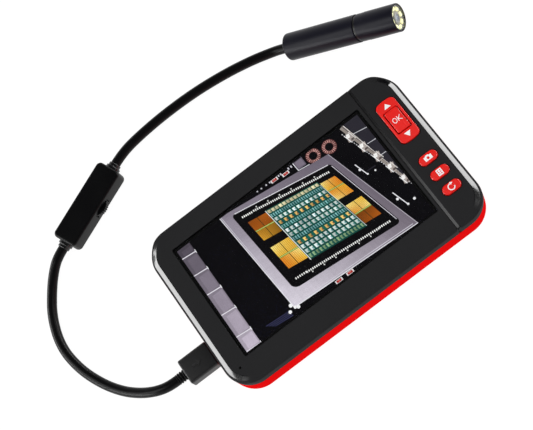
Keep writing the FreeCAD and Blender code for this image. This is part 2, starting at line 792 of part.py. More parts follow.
def screen_gasket():
    """Foam ring between the cover and the display."""
    body = new_body("screen_gasket")
    outline = new_sketch(body, "XY_Plane", screen_x, screen_y, window_under - gasket_thickness)
    add_rounded(outline, window_length, window_width, opening_radius)
    inset = 2 * gasket_width
    add_rounded(outline, window_length - inset, window_width - inset, opening_radius)
    pad(body, outline, gasket_thickness)


def display():
    """Display glass on its backlight tray, with the flat ribbon down to the board."""
    body = new_body("display_panel")
    outline = new_sketch(body, "XY_Plane", screen_x, screen_y, tray_top)
    add_rounded(outline, panel_length, panel_width, opening_radius)
    pad(body, outline, panel_thickness)
    tray = new_body("backlight_tray")
    outline = new_sketch(tray, "XY_Plane", screen_x, screen_y, tray_under)
    add_rounded(outline, panel_length, panel_width, opening_radius)
    pad(tray, outline, tray_thickness)
    ribbon = new_body("display_ribbon")
    profile = new_sketch(ribbon, "YZ_Plane", -board_half_width + ribbon_inset, board_top, screen_x)
    drop = tray_under - board_top
    add_polygon(profile, (
        (ribbon_reach, drop), (0, drop), (0, connector_height), (ribbon_reach, connector_height),
        (ribbon_reach, connector_height + ribbon_thickness),
        (ribbon_thickness, connector_height + ribbon_thickness),
        (ribbon_thickness, drop - ribbon_thickness), (ribbon_reach, drop - ribbon_thickness)))
    pad(ribbon, profile, ribbon_width, middle=True)
    connector_length = ribbon_width + 2 * connector_margin
    nodes.append(block("ribbon_connector", screen_x - connector_length / 2,
                       -board_half_width + connector_inset, board_top, connector_length,
                       ribbon_reach + connector_margin, connector_height))


# ---------------------------------------------------------------- screen unit: board and battery

def main_board():
    """Circuit board with a tongue at the ports and a tab under the status light."""
    body = new_body("main_board")
    outline = new_sketch(body, "XY_Plane", z=board_bottom)
    tab_x = -board_left - board_tab
    add_polygon(outline, (
        (tab_x, pinhole_y - board_tab_near), (-board_left + board_tab_root, pinhole_y - board_tab_near),
        (-board_left + board_tab_root, -board_half_width), (board_right, -board_half_width),
        (board_right, board_half_width), (board_tongue_x, board_half_width),
        (board_tongue_x, board_tongue_y), (-board_tongue_x, board_tongue_y),
        (-board_tongue_x, board_half_width), (-board_left, board_half_width),
        (-board_left, pinhole_y + board_tab_far), (tab_x, pinhole_y + board_tab_far)))
    pad(body, outline, board_thickness)
    holes = new_sketch(body, "XY_Plane", z=board_bottom)
    for x, y in STANDOFFS:
        add_circle(holes, x, y, board_screw_radius + screw_clearance)
    pocket(body, holes, 4 * board_thickness)


def board_parts():
    """The larger components on the board, and its four screws."""
    nodes.append(block("processor_chip", processor_x - processor_size / 2, processor_y - processor_size / 2,
                       board_top, processor_size, processor_size, processor_height))
    nodes.append(block("memory_chip", memory_x - memory_length / 2, memory_y - memory_width / 2,
                       board_top, memory_length, memory_width, memory_height))
    coils = []
    for i in range(3):
        coils.append(block("coil_%d" % i, coil_x + i * coil_pitch - coil_size / 2, coil_y - coil_size / 2,
                           board_top, coil_size, coil_size, coil_height))
    joined("power_coils", coils)
    nodes.append(block("status_light", pinhole_x - led_length / 2, pinhole_y - led_width / 2, board_top,
                       led_length, led_width, led_height))
    pieces = []
    for i, (x, y) in enumerate(STANDOFFS):
        pieces.append(rod("board_screw_head_%d" % i, x, y, board_top, board_screw_head_radius,
                          board_screw_head_height))
        shank = board_screw_length + board_thickness - board_screw_end_gap
        pieces.append(rod("board_screw_shank_%d" % i, x, y, board_top - shank, board_screw_radius, shank))
    joined("board_screws", pieces)


def status_light_pipe():
    """Clear rod that carries the status light up to the pinhole in the bezel."""
    bottom = board_top + led_height + pipe_air_gap
    shoulder = flange_top - flange_thickness
    stem = rod("pipe_stem", pinhole_x, pinhole_y, bottom, pinhole_radius, shoulder - bottom)
    collar = rod("pipe_collar", pinhole_x, pinhole_y, shoulder, pipe_flange_radius, flange_thickness)
    tip = rod("pipe_tip", pinhole_x, pinhole_y, flange_top, pinhole_radius - pipe_clearance,
              body_height - pipe_recess - flange_top)
    joined("status_light_pipe", [stem, collar, tip])


def battery():
    """Flat battery on its adhesive foam pad."""
    body = new_body("battery")
    outline = new_sketch(body, "XY_Plane", battery_x, 0, rear_floor + pad_thickness)
    add_rounded(outline, battery_length, battery_width, battery_radius)
    pad(body, outline, battery_thickness)
    foam = new_body("battery_pad")
    outline = new_sketch(foam, "XY_Plane", battery_x, 0, rear_floor)
    add_rounded(outline, battery_length - 2 * pad_inset, battery_width - 2 * pad_inset, battery_radius)
    pad(foam, outline, pad_thickness)


# ---------------------------------------------------------------- screen unit: ports and card

charge_z = board_bottom - port_height / 2 - port_wall
card_z = board_bottom - reader_wall - card_clearance - card_thickness / 2


def port_socket(name, plane, x, z, off):
    """A metal port shell with a contact tongue, closed at its inner end."""
    body = new_body(name)
    shell = new_sketch(body, plane, x, z, off)
    add_stadium(shell, port_length + 2 * port_wall, port_height + 2 * port_wall)
    pad(body, shell, port_depth)
    cavity = new_sketch(body, plane, x, z, off)
    add_stadium(cavity, port_length, port_height)
    pocket(body, cavity, 2 * (port_depth - port_back))
    tongue = new_sketch(body, plane, x, z, off + tongue_set_back)
    add_polygon(tongue, box_corners(port_length - 2 * tongue_inset, port_tongue))
    pad(body, tongue, port_depth - tongue_set_back - tongue_root)


def ports():
    """Probe socket in the left end, charging socket and card reader in the far side."""
    port_socket("probe_socket", "YZ_Plane", plug_y, plug_height, socket_x)
    port_socket("charge_socket", "XZ_Plane", charge_x, charge_z, socket_y)

    reader = new_body("card_reader")
    width = card_width + 2 * card_clearance
    high = card_thickness + 2 * card_clearance
    shell = new_sketch(reader, "XZ_Plane", card_x, card_z, socket_y)
    add_polygon(shell, box_corners(width + 2 * reader_wall, high + 2 * reader_wall))
    pad(reader, shell, card_length)
    cavity = new_sketch(reader, "XZ_Plane", card_x, card_z, socket_y)
    add_polygon(cavity, box_corners(width, high))
    pocket(reader, cavity, 2 * (card_length - reader_back))

    card = new_body("memory_card")
    outline = new_sketch(card, "XY_Plane", card_x, half_width + card_proud - card_length / 2,
                         card_z - card_thickness / 2)
    add_rounded(outline, card_width, card_length, card_radius)
    pad(card, outline, card_thickness)


def box_corners(width, height):
    x = width / 2
    y = height / 2
    return ((-x, -y), (x, -y), (x, y), (-x, y))


# ---------------------------------------------------------------- screen unit: keys

def navigation_rocker():
    """Rocker cap: presses one switch when its far end goes down, another for the near end."""
    body = new_body("nav_rocker")
    outline = new_sketch(body, "XY_Plane", key_x, rocker_y, rocker_under)
    add_bowed(outline, rocker_width, rocker_length, rocker_bow)
    pad(body, outline, rocker_depth)
    hole = new_sketch(body, "XY_Plane", key_x, rocker_y, rocker_top)
    add_rounded(hole, ok_width + 2 * ok_gap, ok_length + 2 * ok_gap, rocker_hole_radius)
    pocket(body, hole, 2 * rocker_depth + 1)
    for side in (-1, 1):
        foot_bottom = plunger_top + rocker_foot_gap
        foot = new_sketch(body, "XY_Plane", key_x, rocker_y + side * switch_spacing, foot_bottom)
        add_polygon(foot, box_corners(rocker_foot_width, rocker_foot_length))
        pad(body, foot, rocker_under - foot_bottom)
    pivot = new_sketch(body, "YZ_Plane", rocker_y, pivot_z, key_x)
    add_circle(pivot, 0, 0, pivot_radius + pivot_clearance)
    pocket(body, pivot, rocker_width + 2)

    start = ok_width / 2 + ok_gap + pivot_clearance
    length = rocker_width / 2 + key_gap + lug_thickness - start
    right = rod("pivot_pin_right", key_x + start, rocker_y, pivot_z, pivot_radius, length, "x")
    left = rod("pivot_pin_left", key_x - start - length, rocker_y, pivot_z, pivot_radius, length, "x")
    joined("rocker_pins", [right, left])


def ok_button():
    """Confirm key in the middle of the rocker, with a flange that keeps it in."""
    body = new_body("ok_button")
    flange = new_sketch(body, "XY_Plane", key_x, rocker_y, plunger_top)
    add_rounded(flange, ok_width + 2 * ok_flange_width, ok_length + 2 * ok_flange_width,
                rocker_hole_radius)
    pad(body, flange, ok_flange_thickness)
    cap = new_sketch(body, "XY_Plane", key_x, rocker_y, plunger_top)
    add_rounded(cap, ok_width, ok_length, rocker_hole_radius)
    pad(body, cap, body_height + ok_proud - plunger_top)
    dress(body, "Fillet", ok_edge, level_edge(body_height + ok_proud))


def pill_button(name, index):
    """Long round-ended key: cap, flange under the plate and a stem on its switch."""
    body = new_body(name)
    y = pill_y(index)
    bottom = flange_top - flange_thickness
    cap = new_sketch(body, "XY_Plane", key_x, y, bottom)
    add_stadium(cap, pill_length, pill_width)
    pad(body, cap, body_height + pill_proud - bottom)
    flange = new_sketch(body, "XY_Plane", key_x, y, bottom)
    add_stadium(flange, pill_length + 2 * flange_width, pill_width + 2 * flange_width)
    pad(body, flange, flange_thickness)
    stem = new_sketch(body, "XY_Plane", key_x, y, plunger_top)
    add_circle(stem, 0, 0, key_stem_radius)
    pad(body, stem, bottom - plunger_top)
    dress(body, "Fillet", pill_edge, level_edge(body_height + pill_proud))


def switches():
    """Six push switches on the board: one housing each, and a plunger under each key."""
    places = (
        ("up_plunger", rocker_y + switch_spacing),
        ("ok_plunger", rocker_y),
        ("down_plunger", rocker_y - switch_spacing),
        ("photo_plunger", pill_y(0)),
        ("menu_plunger", pill_y(1)),
        ("back_plunger", pill_y(2)),
    )
    bases = []
    wells = []
    for name, y in places:
        bases.append(block("base_" + name, key_x - switch_size / 2, y - switch_size / 2, board_top,
                           switch_size, switch_size, switch_height))
        wells.append(rod("well_" + name, key_x, y, switch_top - plunger_well,
                         plunger_radius + plunger_clearance, plunger_well + 1))
        plunger = rod(name, key_x, y, switch_top - plunger_sunk, plunger_radius,
                      plunger_sunk + plunger_proud)
        nodes.append(plunger)
    solid = doc.addObject("Part::MultiFuse", "switch_blanks")
    solid.Shapes = bases
    bore = doc.addObject("Part::MultiFuse", "switch_wells")
    bore.Shapes = wells
    nodes.append(less("switch_bases", solid, bore))


# ---------------------------------------------------------------- probe: plug

def plug():
    """Metal plug shell, its moulded grip and the ribbed neck that the cable leaves."""
    grip_front = -half_length - overmould_gap
    grip_rear = grip_front - overmould_length
    shell = new_body("plug_shell")
    tube = new_sketch(shell, "YZ_Plane", plug_y, plug_height, grip_front)
    add_stadium(tube, plug_shell_length, plug_shell_height)
    inner = 2 * plug_shell_wall
    add_stadium(tube, plug_shell_length - inner, plug_shell_height - inner)
    pad(shell, tube, plug_reach)

    grip = new_body("plug_grip")
    section = new_sketch(grip, "YZ_Plane", plug_y, plug_height, grip_rear)
    add_rounded(section, overmould_width, overmould_height, overmould_radius)
    pad(grip, section, overmould_length)

    placement = FreeCAD.Placement(Vector(float(grip_rear), float(plug_y), float(plug_height)),
                                  FreeCAD.Rotation(Vector(0, 0, 1), 180))
    neck = new_body("plug_neck", placement)
    step = neck_pitch / 2
    low = neck_radius - neck_groove
    points = [(0, 0), (0, neck_radius)]
    for i in range(round(float(neck_ribs))):
        x = step + i * neck_pitch
        points += [(x, neck_radius), (x, low), (x + step, low), (x + step, neck_radius)]
    points += [(neck_length, neck_radius), (neck_length, 0)]
    revolve(neck, points)


# ---------------------------------------------------------------- probe: cables

# The route of each length of cable, point by point, chosen by hand: down from the plug's neck,
# in a wide loop on the ground to the dimmer, then in a flat bow on to the camera head.
LOWER_ROUTE = (
    (-83.0, -15.2, 9.0),
    (-87.4, -15.2, 9.0),
    (-93.4, -13.2, 8.2),
    (-99.9, -8.9, 6.0),
    (-106.4, -2.5, 3.6),
    (-112.3, 6.4, 2.3),
    (-117.0, 17.8, 2.25),
    (-118.8, 31.0, 2.25),
    (-115.1, 44.8, 2.25),
    (-108.2, 55.8, 2.3),
    (-102.6, 61.9, 3.3),
    (-97.929, 65.122, 4.5),
    (-93.698, 66.927, 4.5),
)
UPPER_ROUTE = (
    (-53.502, 84.073, 4.5),
    (-48.0, 86.42, 4.5),
    (-38.5, 88.9, 2.7),
    (-23.5, 90.1, 2.25),
    (-6.0, 89.7, 2.25),
    (10.5, 87.6, 2.25),
    (23.2, 84.8, 2.25),
    (31.1, 82.3, 2.25),
    (34.864, 80.606, 3.032),
    (37.77, 78.571, 4.394),
)


def tube(name, route):
    """A round cable: straight runs joined by tangent arcs as large as the runs allow."""
    points = [Vector(*point) for point in route]
    edges = []
    here = points[0]
    radii = []
    for i in range(1, len(points) - 1):
        before = points[i] - points[i - 1]
        after = points[i + 1] - points[i]
        turn = before.getAngle(after)
        reach = 0.45 * min(before.Length, after.Length)
        radii.append(reach / math.tan(turn / 2))
        into = Vector(before).normalize()
        out = Vector(after).normalize()
        start = points[i] - into * reach
        end = points[i] + out * reach
        inward = (out - into).normalize()
        centre_distance = radii[-1] / math.cos(turn / 2)
        middle = points[i] + inward * (centre_distance - radii[-1])
        edges.append(Part.LineSegment(here, start).toShape())
        edges.append(Part.Arc(start, middle, end).toShape())
        here = end
    edges.append(Part.LineSegment(here, points[-1]).toShape())
    path = Part.Wire(edges)
    radius = float(cable_diameter) / 2
    section = Part.Wire([Part.makeCircle(radius, points[0], points[1] - points[0])])
    shape = path.makePipeShell([section], True, False)
    piece = doc.addObject("Part::Feature", name)
    piece.Label = name
    piece.Shape = shape
    nodes.append(piece)
    ideal = math.pi * radius ** 2 * path.Length
    print("%s: length %.1f mm, volume %.1f of %.1f mm3" % (name, path.Length, shape.Volume, ideal))
    print("  radii", " ".join("%.1f" % value for value in radii))


# ---------------------------------------------------------------- probe: dimmer

def dimmer():
    """In-line dimmer: two shells, a small board with a turning control and its thumb wheel."""
    placement = FreeCAD.Placement(Vector(float(dimmer_x), float(dimmer_y), 0),
                                  FreeCAD.Rotation(Vector(0, 0, 1), float(dimmer_angle)))
    middle = dimmer_height / 2
    inner_length = dimmer_length - 2 * dimmer_wall
    inner_width = dimmer_width - 2 * dimmer_wall
    inner_corner = dimmer_corner - dimmer_wall
    wheel_y = -dimmer_width / 2 - wheel_proud + wheel_radius
    wheel_low = middle - wheel_thickness / 2
    board_z = wheel_low - wheel_pot_gap - pot_height - dimmer_board_thickness

    for name, bottom, edge in (("dimmer_top_shell", middle, dimmer_height),
                               ("dimmer_bottom_shell", Size(0.0, "0"), Size(0.0, "0"))):
        body = new_body(name, placement)
        outline = new_sketch(body, "XY_Plane", z=bottom)
        add_rounded(outline, dimmer_length, dimmer_width, dimmer_corner)
        pad(body, outline, middle)
        dress(body, "Fillet", dimmer_edge, level_edge(edge))
        cavity = new_sketch(body, "XY_Plane", z=middle)
        add_rounded(cavity, inner_length, inner_width, inner_corner)
        pocket(body, cavity, 2 * (middle - dimmer_wall))
        seat = new_sketch(body, "YZ_Plane", 0, middle)
        add_circle(seat, 0, 0, bush_seat_radius)
        pocket(body, seat, dimmer_length + 2)
        window = new_sketch(body, "XY_Plane", wheel_x, wheel_y, middle)
        add_circle(window, 0, 0, wheel_radius + wheel_clearance)
        pocket(body, window, wheel_thickness + 2 * wheel_clearance)
        if name == "dimmer_top_shell":
            bearing = new_sketch(body, "XY_Plane", wheel_x, wheel_y, dimmer_height - dimmer_wall)
            add_circle(bearing, 0, 0, axle_radius + axle_clearance)
            pocket(body, bearing, dimmer_wall)

    board = new_body("dimmer_board", placement)
    outline = new_sketch(board, "XY_Plane", z=board_z)
    gap = 2 * dimmer_board_gap
    add_rounded(outline, inner_length - gap, inner_width - gap, dimmer_board_radius)
    pad(board, outline, dimmer_board_thickness)

    pot = new_body("dimmer_control", placement)
    outline = new_sketch(pot, "XY_Plane", wheel_x, wheel_y + pot_offset, board_z + dimmer_board_thickness)
    add_circle(outline, 0, 0, pot_radius)
    pad(pot, outline, pot_height)

    wheel = new_body("dimmer_wheel", placement)
    outline = new_sketch(wheel, "XY_Plane", wheel_x, wheel_y, wheel_low)
    add_circle(outline, 0, 0, wheel_radius)
    pad(wheel, outline, wheel_thickness)
    axle = new_sketch(wheel, "XY_Plane", wheel_x, wheel_y, wheel_low - axle_below)
    add_circle(axle, 0, 0, axle_radius)
    pad(wheel, axle, dimmer_height - dimmer_wall + axle_entry - wheel_low + axle_below)
    notch = new_sketch(wheel, "XY_Plane", wheel_x, wheel_y, middle)
    add_circle(notch, 0, wheel_radius, wheel_notch_radius)
    cut = pocket(wheel, notch, wheel_thickness + 2)
    ring = wheel.newObject("PartDesign::PolarPattern", "knurl")
    ring.Originals = [cut]
    ring.Axis = (notch, ["N_Axis"])
    ring.Angle = 360
    ring.Occurrences = round(float(wheel_notches))
    wheel.Tip = ring

    for name, side in (("dimmer_outlet_bush", 1), ("dimmer_inlet_bush", -1)):
        turn = FreeCAD.Placement(Vector(0, 0, float(middle)),
                                 FreeCAD.Rotation(Vector(0, 0, 1), 0 if side > 0 else 180))
        bush = new_body(name, placement.multiply(turn))
        face = dimmer_length / 2
        revolve(bush, (
            (face - dimmer_wall, 0), (face - dimmer_wall, bush_seat_radius),
            (face, bush_seat_radius), (face, bush_radius), (face + bush_step, bush_radius),
            (face + bush_step, bush_neck_radius), (face + 2 * bush_step, bush_neck_radius),
            (face + 2 * bush_step, 0)))


# ---------------------------------------------------------------- probe: camera head

def head_frame():
    """The head's own frame: X from its rear face forwards, its heel resting on the ground."""
    tilt = math.radians(float(head_tilt))
    rise = (float(head_heel_radius) + (float(head_radius) - float(head_heel_radius)) * math.cos(tilt)
            - float(head_heel_radius) * math.sin(tilt))
    turn = FreeCAD.Rotation(Vector(0, 0, 1), float(head_turn))
    lean = FreeCAD.Rotation(Vector(0, 1, 0), -float(head_tilt))
    return FreeCAD.Placement(Vector(float(head_x), float(head_y), rise), turn.multiply(lean))


def camera_head():
    """Barrel, seal and front sleeve round the lens, sensor and ring of lights."""
    placement = head_frame()
    seal_start = barrel_length
    sleeve_start = barrel_length + seal_length
    front = sleeve_start + sleeve_length
    bore = head_radius - head_wall
    inner = spigot_radius - head_wall
    glass_front = front - face_recess
    glass_rear = glass_front - face_glass
    light_front = glass_rear - light_board_gap
    light_rear = light_front - light_board_thickness

    gland = new_body("head_gland", placement)
    revolve(gland, ((-gland_length, 0), (-gland_length, cable_diameter / 2 + gland_lip),
                    (-gland_taper, gland_radius), (barrel_rear_wall, gland_radius),
                    (barrel_rear_wall, 0)))

    barrel = new_body("head_barrel", placement)
    revolve(barrel, (
        (0, gland_radius), (0, head_radius), (barrel_length, head_radius),
        (barrel_length, spigot_radius), (barrel_length + spigot_length, spigot_radius),
        (barrel_length + spigot_length, inner), (barrel_rear_wall, inner),
        (barrel_rear_wall, gland_radius)))
    dress(barrel, "Fillet", head_heel_radius,
          lambda edge: len(edge.Vertexes) == 1 and near(edge.Curve.Radius, head_radius)
          and edge.CenterOfMass.distanceToPoint(Vector(0, 0, 0)) < 1)

    seal = new_body("head_seal", placement)
    revolve(seal, ((seal_start, spigot_radius), (seal_start, head_radius - seal_sink),
                   (sleeve_start, head_radius - seal_sink), (sleeve_start, spigot_radius)))

    sleeve = new_body("head_sleeve", placement)
    collar = head_radius - collar_step
    collar_end = sleeve_start + collar_length
    revolve(sleeve, (
        (sleeve_start, spigot_radius), (sleeve_start, collar), (collar_end, collar),
        (collar_end, head_radius), (front, head_radius), (front, bore), (glass_rear, bore),
        (glass_rear, spigot_radius)))

    glass = new_body("lens_window", placement)
    revolve(glass, ((glass_rear, 0), (glass_rear, bore), (glass_front, bore), (glass_front, 0)))

    board = new_body("light_board", placement)
    disc_radius = spigot_radius - lens_clearance
    revolve(board, ((light_rear, lens_radius + lens_clearance), (light_rear, disc_radius),
                    (light_front, disc_radius), (light_front, lens_radius + lens_clearance)))

    lights = new_body("light_chips", placement)
    for i in range(round(float(light_count))):
        angle = 2 * math.pi * i / float(light_count)
        spot = (light_ring_radius * math.cos(angle), light_ring_radius * math.sin(angle))
        chip = new_sketch(lights, "YZ_Plane", spot[0], spot[1], light_front)
        chip.AttachmentOffset = FreeCAD.Placement(chip.AttachmentOffset.Base,
                                                  FreeCAD.Rotation(Vector(0, 0, 1), math.degrees(angle)))
        add_polygon(chip, box_corners(light_width, light_length))
        pad(lights, chip, light_height)

    lens = new_body("lens_barrel", placement)
    lens_front = glass_rear - lens_clearance
    lens_rear = lens_front - lens_length
    revolve(lens, ((lens_rear, 0), (lens_rear, lens_radius), (lens_front, lens_radius),
                   (lens_front, lens_cup_radius), (lens_front - lens_cup_depth, lens_stop_radius),
                   (lens_front - lens_cup_depth, 0)))

    sensor = new_body("sensor_board", placement)
    outline = new_sketch(sensor, "YZ_Plane", 0, 0, lens_rear - sensor_thickness)
    add_rounded(outline, sensor_length, sensor_width, sensor_radius)
    pad(sensor, outline, sensor_thickness)


# ---------------------------------------------------------------- build, check and write

def build():
    rear_housing()
    front_housing()
    housing_screws()
    screen_window()
    screen_gasket()
    display()
    main_board()
    board_parts()
    status_light_pipe()
    battery()
    ports()
    navigation_rocker()
    ok_button()
    pill_button("photo_button", 0)
    pill_button("menu_button", 1)
    pill_button("back_button", 2)
    switches()
    plug()
    tube("probe_cable_lower", LOWER_ROUTE)
    dimmer()
    tube("probe_cable_upper", UPPER_ROUTE)
    camera_head()
    doc.recompute()


def check():
    """Stops when any object failed to rebuild or any sub-part isn't a sound solid."""
    faults = []
    for thing in doc.Objects:
        if "Invalid" in thing.State or "Error" in thing.State:
            faults.append("%s (%s)" % (thing.Name, thing.Label))
    for node in nodes:
        shape = node.Shape
        if shape.isNull() or not shape.isValid() or not shape.Solids:
            faults.append("shape of " + node.Label)
    if faults:
        raise RuntimeError("failed: " + ", ".join(faults))


def write():
    os.makedirs("parts", exist_ok=True)
    for node in nodes:
        node.Shape.exportStep(os.path.join("parts", node.Label + ".step"))
    print(len(nodes), "sub-parts")


build()
check()
write()
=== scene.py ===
"""Handheld inspection camera: its visible surfaces and finishes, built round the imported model.

Shapes are worked out in millimetres and become meshes in metres, in the model's own frame:
+X towards the keys, +Y up the short side of the screen, +Z out of the screen.
"""

from __future__ import annotations

import json
import logging
import math
from collections.abc import Callable, Sequence
from dataclasses import dataclass
from enum import Enum

import bmesh
import bpy
import numpy as np
from mathutils import Matrix, Vector
from mathutils.geometry import delaunay_2d_cdt


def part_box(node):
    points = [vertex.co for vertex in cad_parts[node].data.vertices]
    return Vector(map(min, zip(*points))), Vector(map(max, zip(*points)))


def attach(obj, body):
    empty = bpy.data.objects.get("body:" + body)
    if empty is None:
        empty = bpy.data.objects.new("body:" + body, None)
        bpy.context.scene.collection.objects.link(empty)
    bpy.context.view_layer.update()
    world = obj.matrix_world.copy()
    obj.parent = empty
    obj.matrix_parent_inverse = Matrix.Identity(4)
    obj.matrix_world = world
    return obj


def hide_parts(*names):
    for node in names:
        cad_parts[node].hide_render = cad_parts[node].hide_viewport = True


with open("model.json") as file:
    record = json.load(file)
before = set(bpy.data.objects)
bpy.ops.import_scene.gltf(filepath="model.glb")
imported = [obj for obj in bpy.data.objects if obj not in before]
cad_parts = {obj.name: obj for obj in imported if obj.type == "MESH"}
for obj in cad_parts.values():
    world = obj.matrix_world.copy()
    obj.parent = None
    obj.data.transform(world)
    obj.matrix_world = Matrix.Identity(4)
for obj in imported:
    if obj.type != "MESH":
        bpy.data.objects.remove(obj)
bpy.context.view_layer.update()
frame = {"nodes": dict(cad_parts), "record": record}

log = logging.getLogger("inspection_camera")

Array = np.ndarray
Colour = tuple[float, float, float]
Spot = tuple[float, float]
Surface = Callable[[Array], Array]
Thing = bpy.types.Object
Material = bpy.types.Material
Tree = bpy.types.NodeTree
Node = bpy.types.Node
Socket = bpy.types.NodeSocket
MM = 0.001
FULL_TURN = 2 * math.pi
QUARTER_TURN = math.pi / 2
TINY = 1e-3

# The cable's route, point by point: from the plug's neck to the dimmer, and on to the camera head.
LOWER_ROUTE = (
    (-0.0830, -0.0152, 0.0090),
    (-0.0874, -0.0152, 0.0090),
    (-0.0934, -0.0132, 0.0082),
    (-0.0999, -0.0089, 0.0060),
    (-0.1064, -0.0025, 0.0036),
    (-0.1123, 0.0064, 0.0023),
    (-0.1170, 0.0178, 0.00225),
    (-0.1188, 0.0310, 0.00225),
    (-0.1151, 0.0448, 0.00225),
    (-0.1082, 0.0558, 0.0023),
    (-0.1026, 0.0619, 0.0033),
    (-0.097929, 0.065122, 0.0045),
    (-0.093698, 0.066927, 0.0045),
)
UPPER_ROUTE = (
    (-0.053502, 0.084073, 0.0045),
    (-0.0480, 0.08642, 0.0045),
    (-0.0385, 0.0889, 0.0027),
    (-0.0235, 0.0901, 0.00225),
    (-0.0060, 0.0897, 0.00225),
    (0.0105, 0.0876, 0.00225),
    (0.0232, 0.0848, 0.00225),
    (0.0311, 0.0823, 0.00225),
    (0.034864, 0.080606, 0.003032),
    (0.03777, 0.078571, 0.004394),
)
CABLE_DIAMETER = 0.0045


# ---------------------------------------------------------------- numbers and outlines

def srgb(red: float, green: float, blue: float) -> Colour:
    """Turns a colour from 0 to 255 in each channel into linear light.

    Args:
        red: Red, from 0 to 255.
        green: Green, from 0 to 255.
        blue: Blue, from 0 to 255.

    Returns:
        The colour in linear light, from 0 to 1.
    """
    part = np.array((red, green, blue)) / 255.0
    low = part / 12.92
    high = ((part + 0.055) / 1.055) ** 2.4
    return tuple(float(v) for v in np.where(part <= 0.04045, low, high))


def span(node: str) -> tuple[Array, Array]:
    """The lowest and highest corner of a model node, in millimetres."""
    low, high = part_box(node)
    return np.array(low) / MM, np.array(high) / MM


def smooth_step(value: Array, start: float, end: float) -> Array:
    """Rises from 0 at start to 1 at end, flat at both: 3 t squared less 2 t cubed."""
    share = np.clip((value - start) / (end - start), 0, 1)
    return share * share * (3 - 2 * share)


@dataclass
class Outline:
    """A closed plan outline: points in order, anticlockwise, and the outward normal at each."""

    points: Array
    normals: Array

    def moved_out(self, distance: float | Array) -> Array:
        """Each point moved along its own normal by the distance."""
        return self.points + self.normals * np.reshape(distance, (-1, 1))

    def shifted(self, x: float, y: float) -> Outline:
        """The same outline with its centre moved."""
        return Outline(self.points + np.array((x, y)), self.normals)

    def turned(self, degrees: float) -> Outline:
        """The same outline turned about its centre."""
        c, s = math.cos(math.radians(degrees)), math.sin(math.radians(degrees))
        turn = np.array(((c, s), (-s, c)))
        return Outline(self.points @ turn, self.normals @ turn)


def rounded_rectangle(length: float, width: float, radius: float, steps: int = 8,
                      on_sides: Sequence[float] = (), side_steps: int = 1) -> Outline:
    """A rectangle with round corners, centred on the origin.

    Each corner is a quarter circle about a point one radius in from both sides. The two sides
    along X also carry a point at each x in on_sides.

    Args:
        length: Size along X.
        width: Size along Y.
        radius: Corner radius.
        steps: Runs in each corner.
        on_sides: The x of each extra point on the sides along X.
        side_steps: Runs in each side along Y.

    Returns:
        The outline, starting at the low end of the side at +X.
    """
    cx, cy = length / 2 - radius, width / 2 - radius
    points: list[Array] = []
    normals: list[Array] = []
    extra = np.sort(np.array(on_sides, float))
    for quarter, (sx, sy) in enumerate(((1, -1), (1, 1), (-1, 1), (-1, -1))):
        angle = QUARTER_TURN * (quarter - 1) + np.linspace(0, QUARTER_TURN, steps + 1)
        ring = np.column_stack((np.cos(angle), np.sin(angle)))
        points.append(ring * radius + np.array((sx * cx, sy * cy)))
        normals.append(ring)
        if quarter in (1, 3) and len(extra):
            along = extra[::-1] if quarter == 1 else extra
            level = np.full(len(along), sy * width / 2)
            points.append(np.column_stack((along, level)))
            normals.append(np.column_stack((np.zeros(len(along)), np.full(len(along), float(sy)))))
        if quarter in (0, 2) and side_steps > 1:
            share = np.linspace(0, 1, side_steps + 1)[1:-1]
            y = sy * cy + (-2 * sy * cy) * share
            points.append(np.column_stack((np.full(len(y), sx * length / 2), y)))
            normals.append(np.column_stack((np.full(len(y), float(sx)), np.zeros(len(y)))))
    return Outline(np.vstack(points), np.vstack(normals))


def stadium(length: float, width: float, steps: int = 16) -> Outline:
    """Two straight sides along X joined by half circles, centred on the origin."""
    return rounded_rectangle(length, width, width / 2 - 1e-4, steps)


def circle(radius: float, steps: int = 48) -> Outline:
    """A circle about the origin."""
    angle = np.linspace(0, FULL_TURN, steps, endpoint=False)
    ring = np.column_stack((np.cos(angle), np.sin(angle)))
    return Outline(ring * radius, ring)


def bowed_rectangle(width: float, length: float, bow: float, radius: float, steps: int = 8,
                    end_steps: int = 12) -> Outline:
    """A rounded rectangle along Y whose ends bulge by the bow.

    The bulge at x is the bow times one less the square of x over the half width, so it is whole
    in the middle and nothing at the corners.
    """
    inner = width / 2 - radius
    xs = np.linspace(-inner, inner, end_steps + 1)[1:-1]
    base = rounded_rectangle(width, length, radius, steps, on_sides=xs, side_steps=6)
    points, normals = base.points.copy(), base.normals.copy()
    share = np.clip(np.abs(normals[:, 1]), 0, 1)
    side = np.sign(points[:, 1])
    curve = 1 - (2 * points[:, 0] / width) ** 2
    points[:, 1] += side * bow * curve * share
    normals[:, 0] += 8 * bow * points[:, 0] / width ** 2 * share * (share > 0.99)
    normals /= np.linalg.norm(normals, axis=1)[:, None]
    return Outline(points, normals)


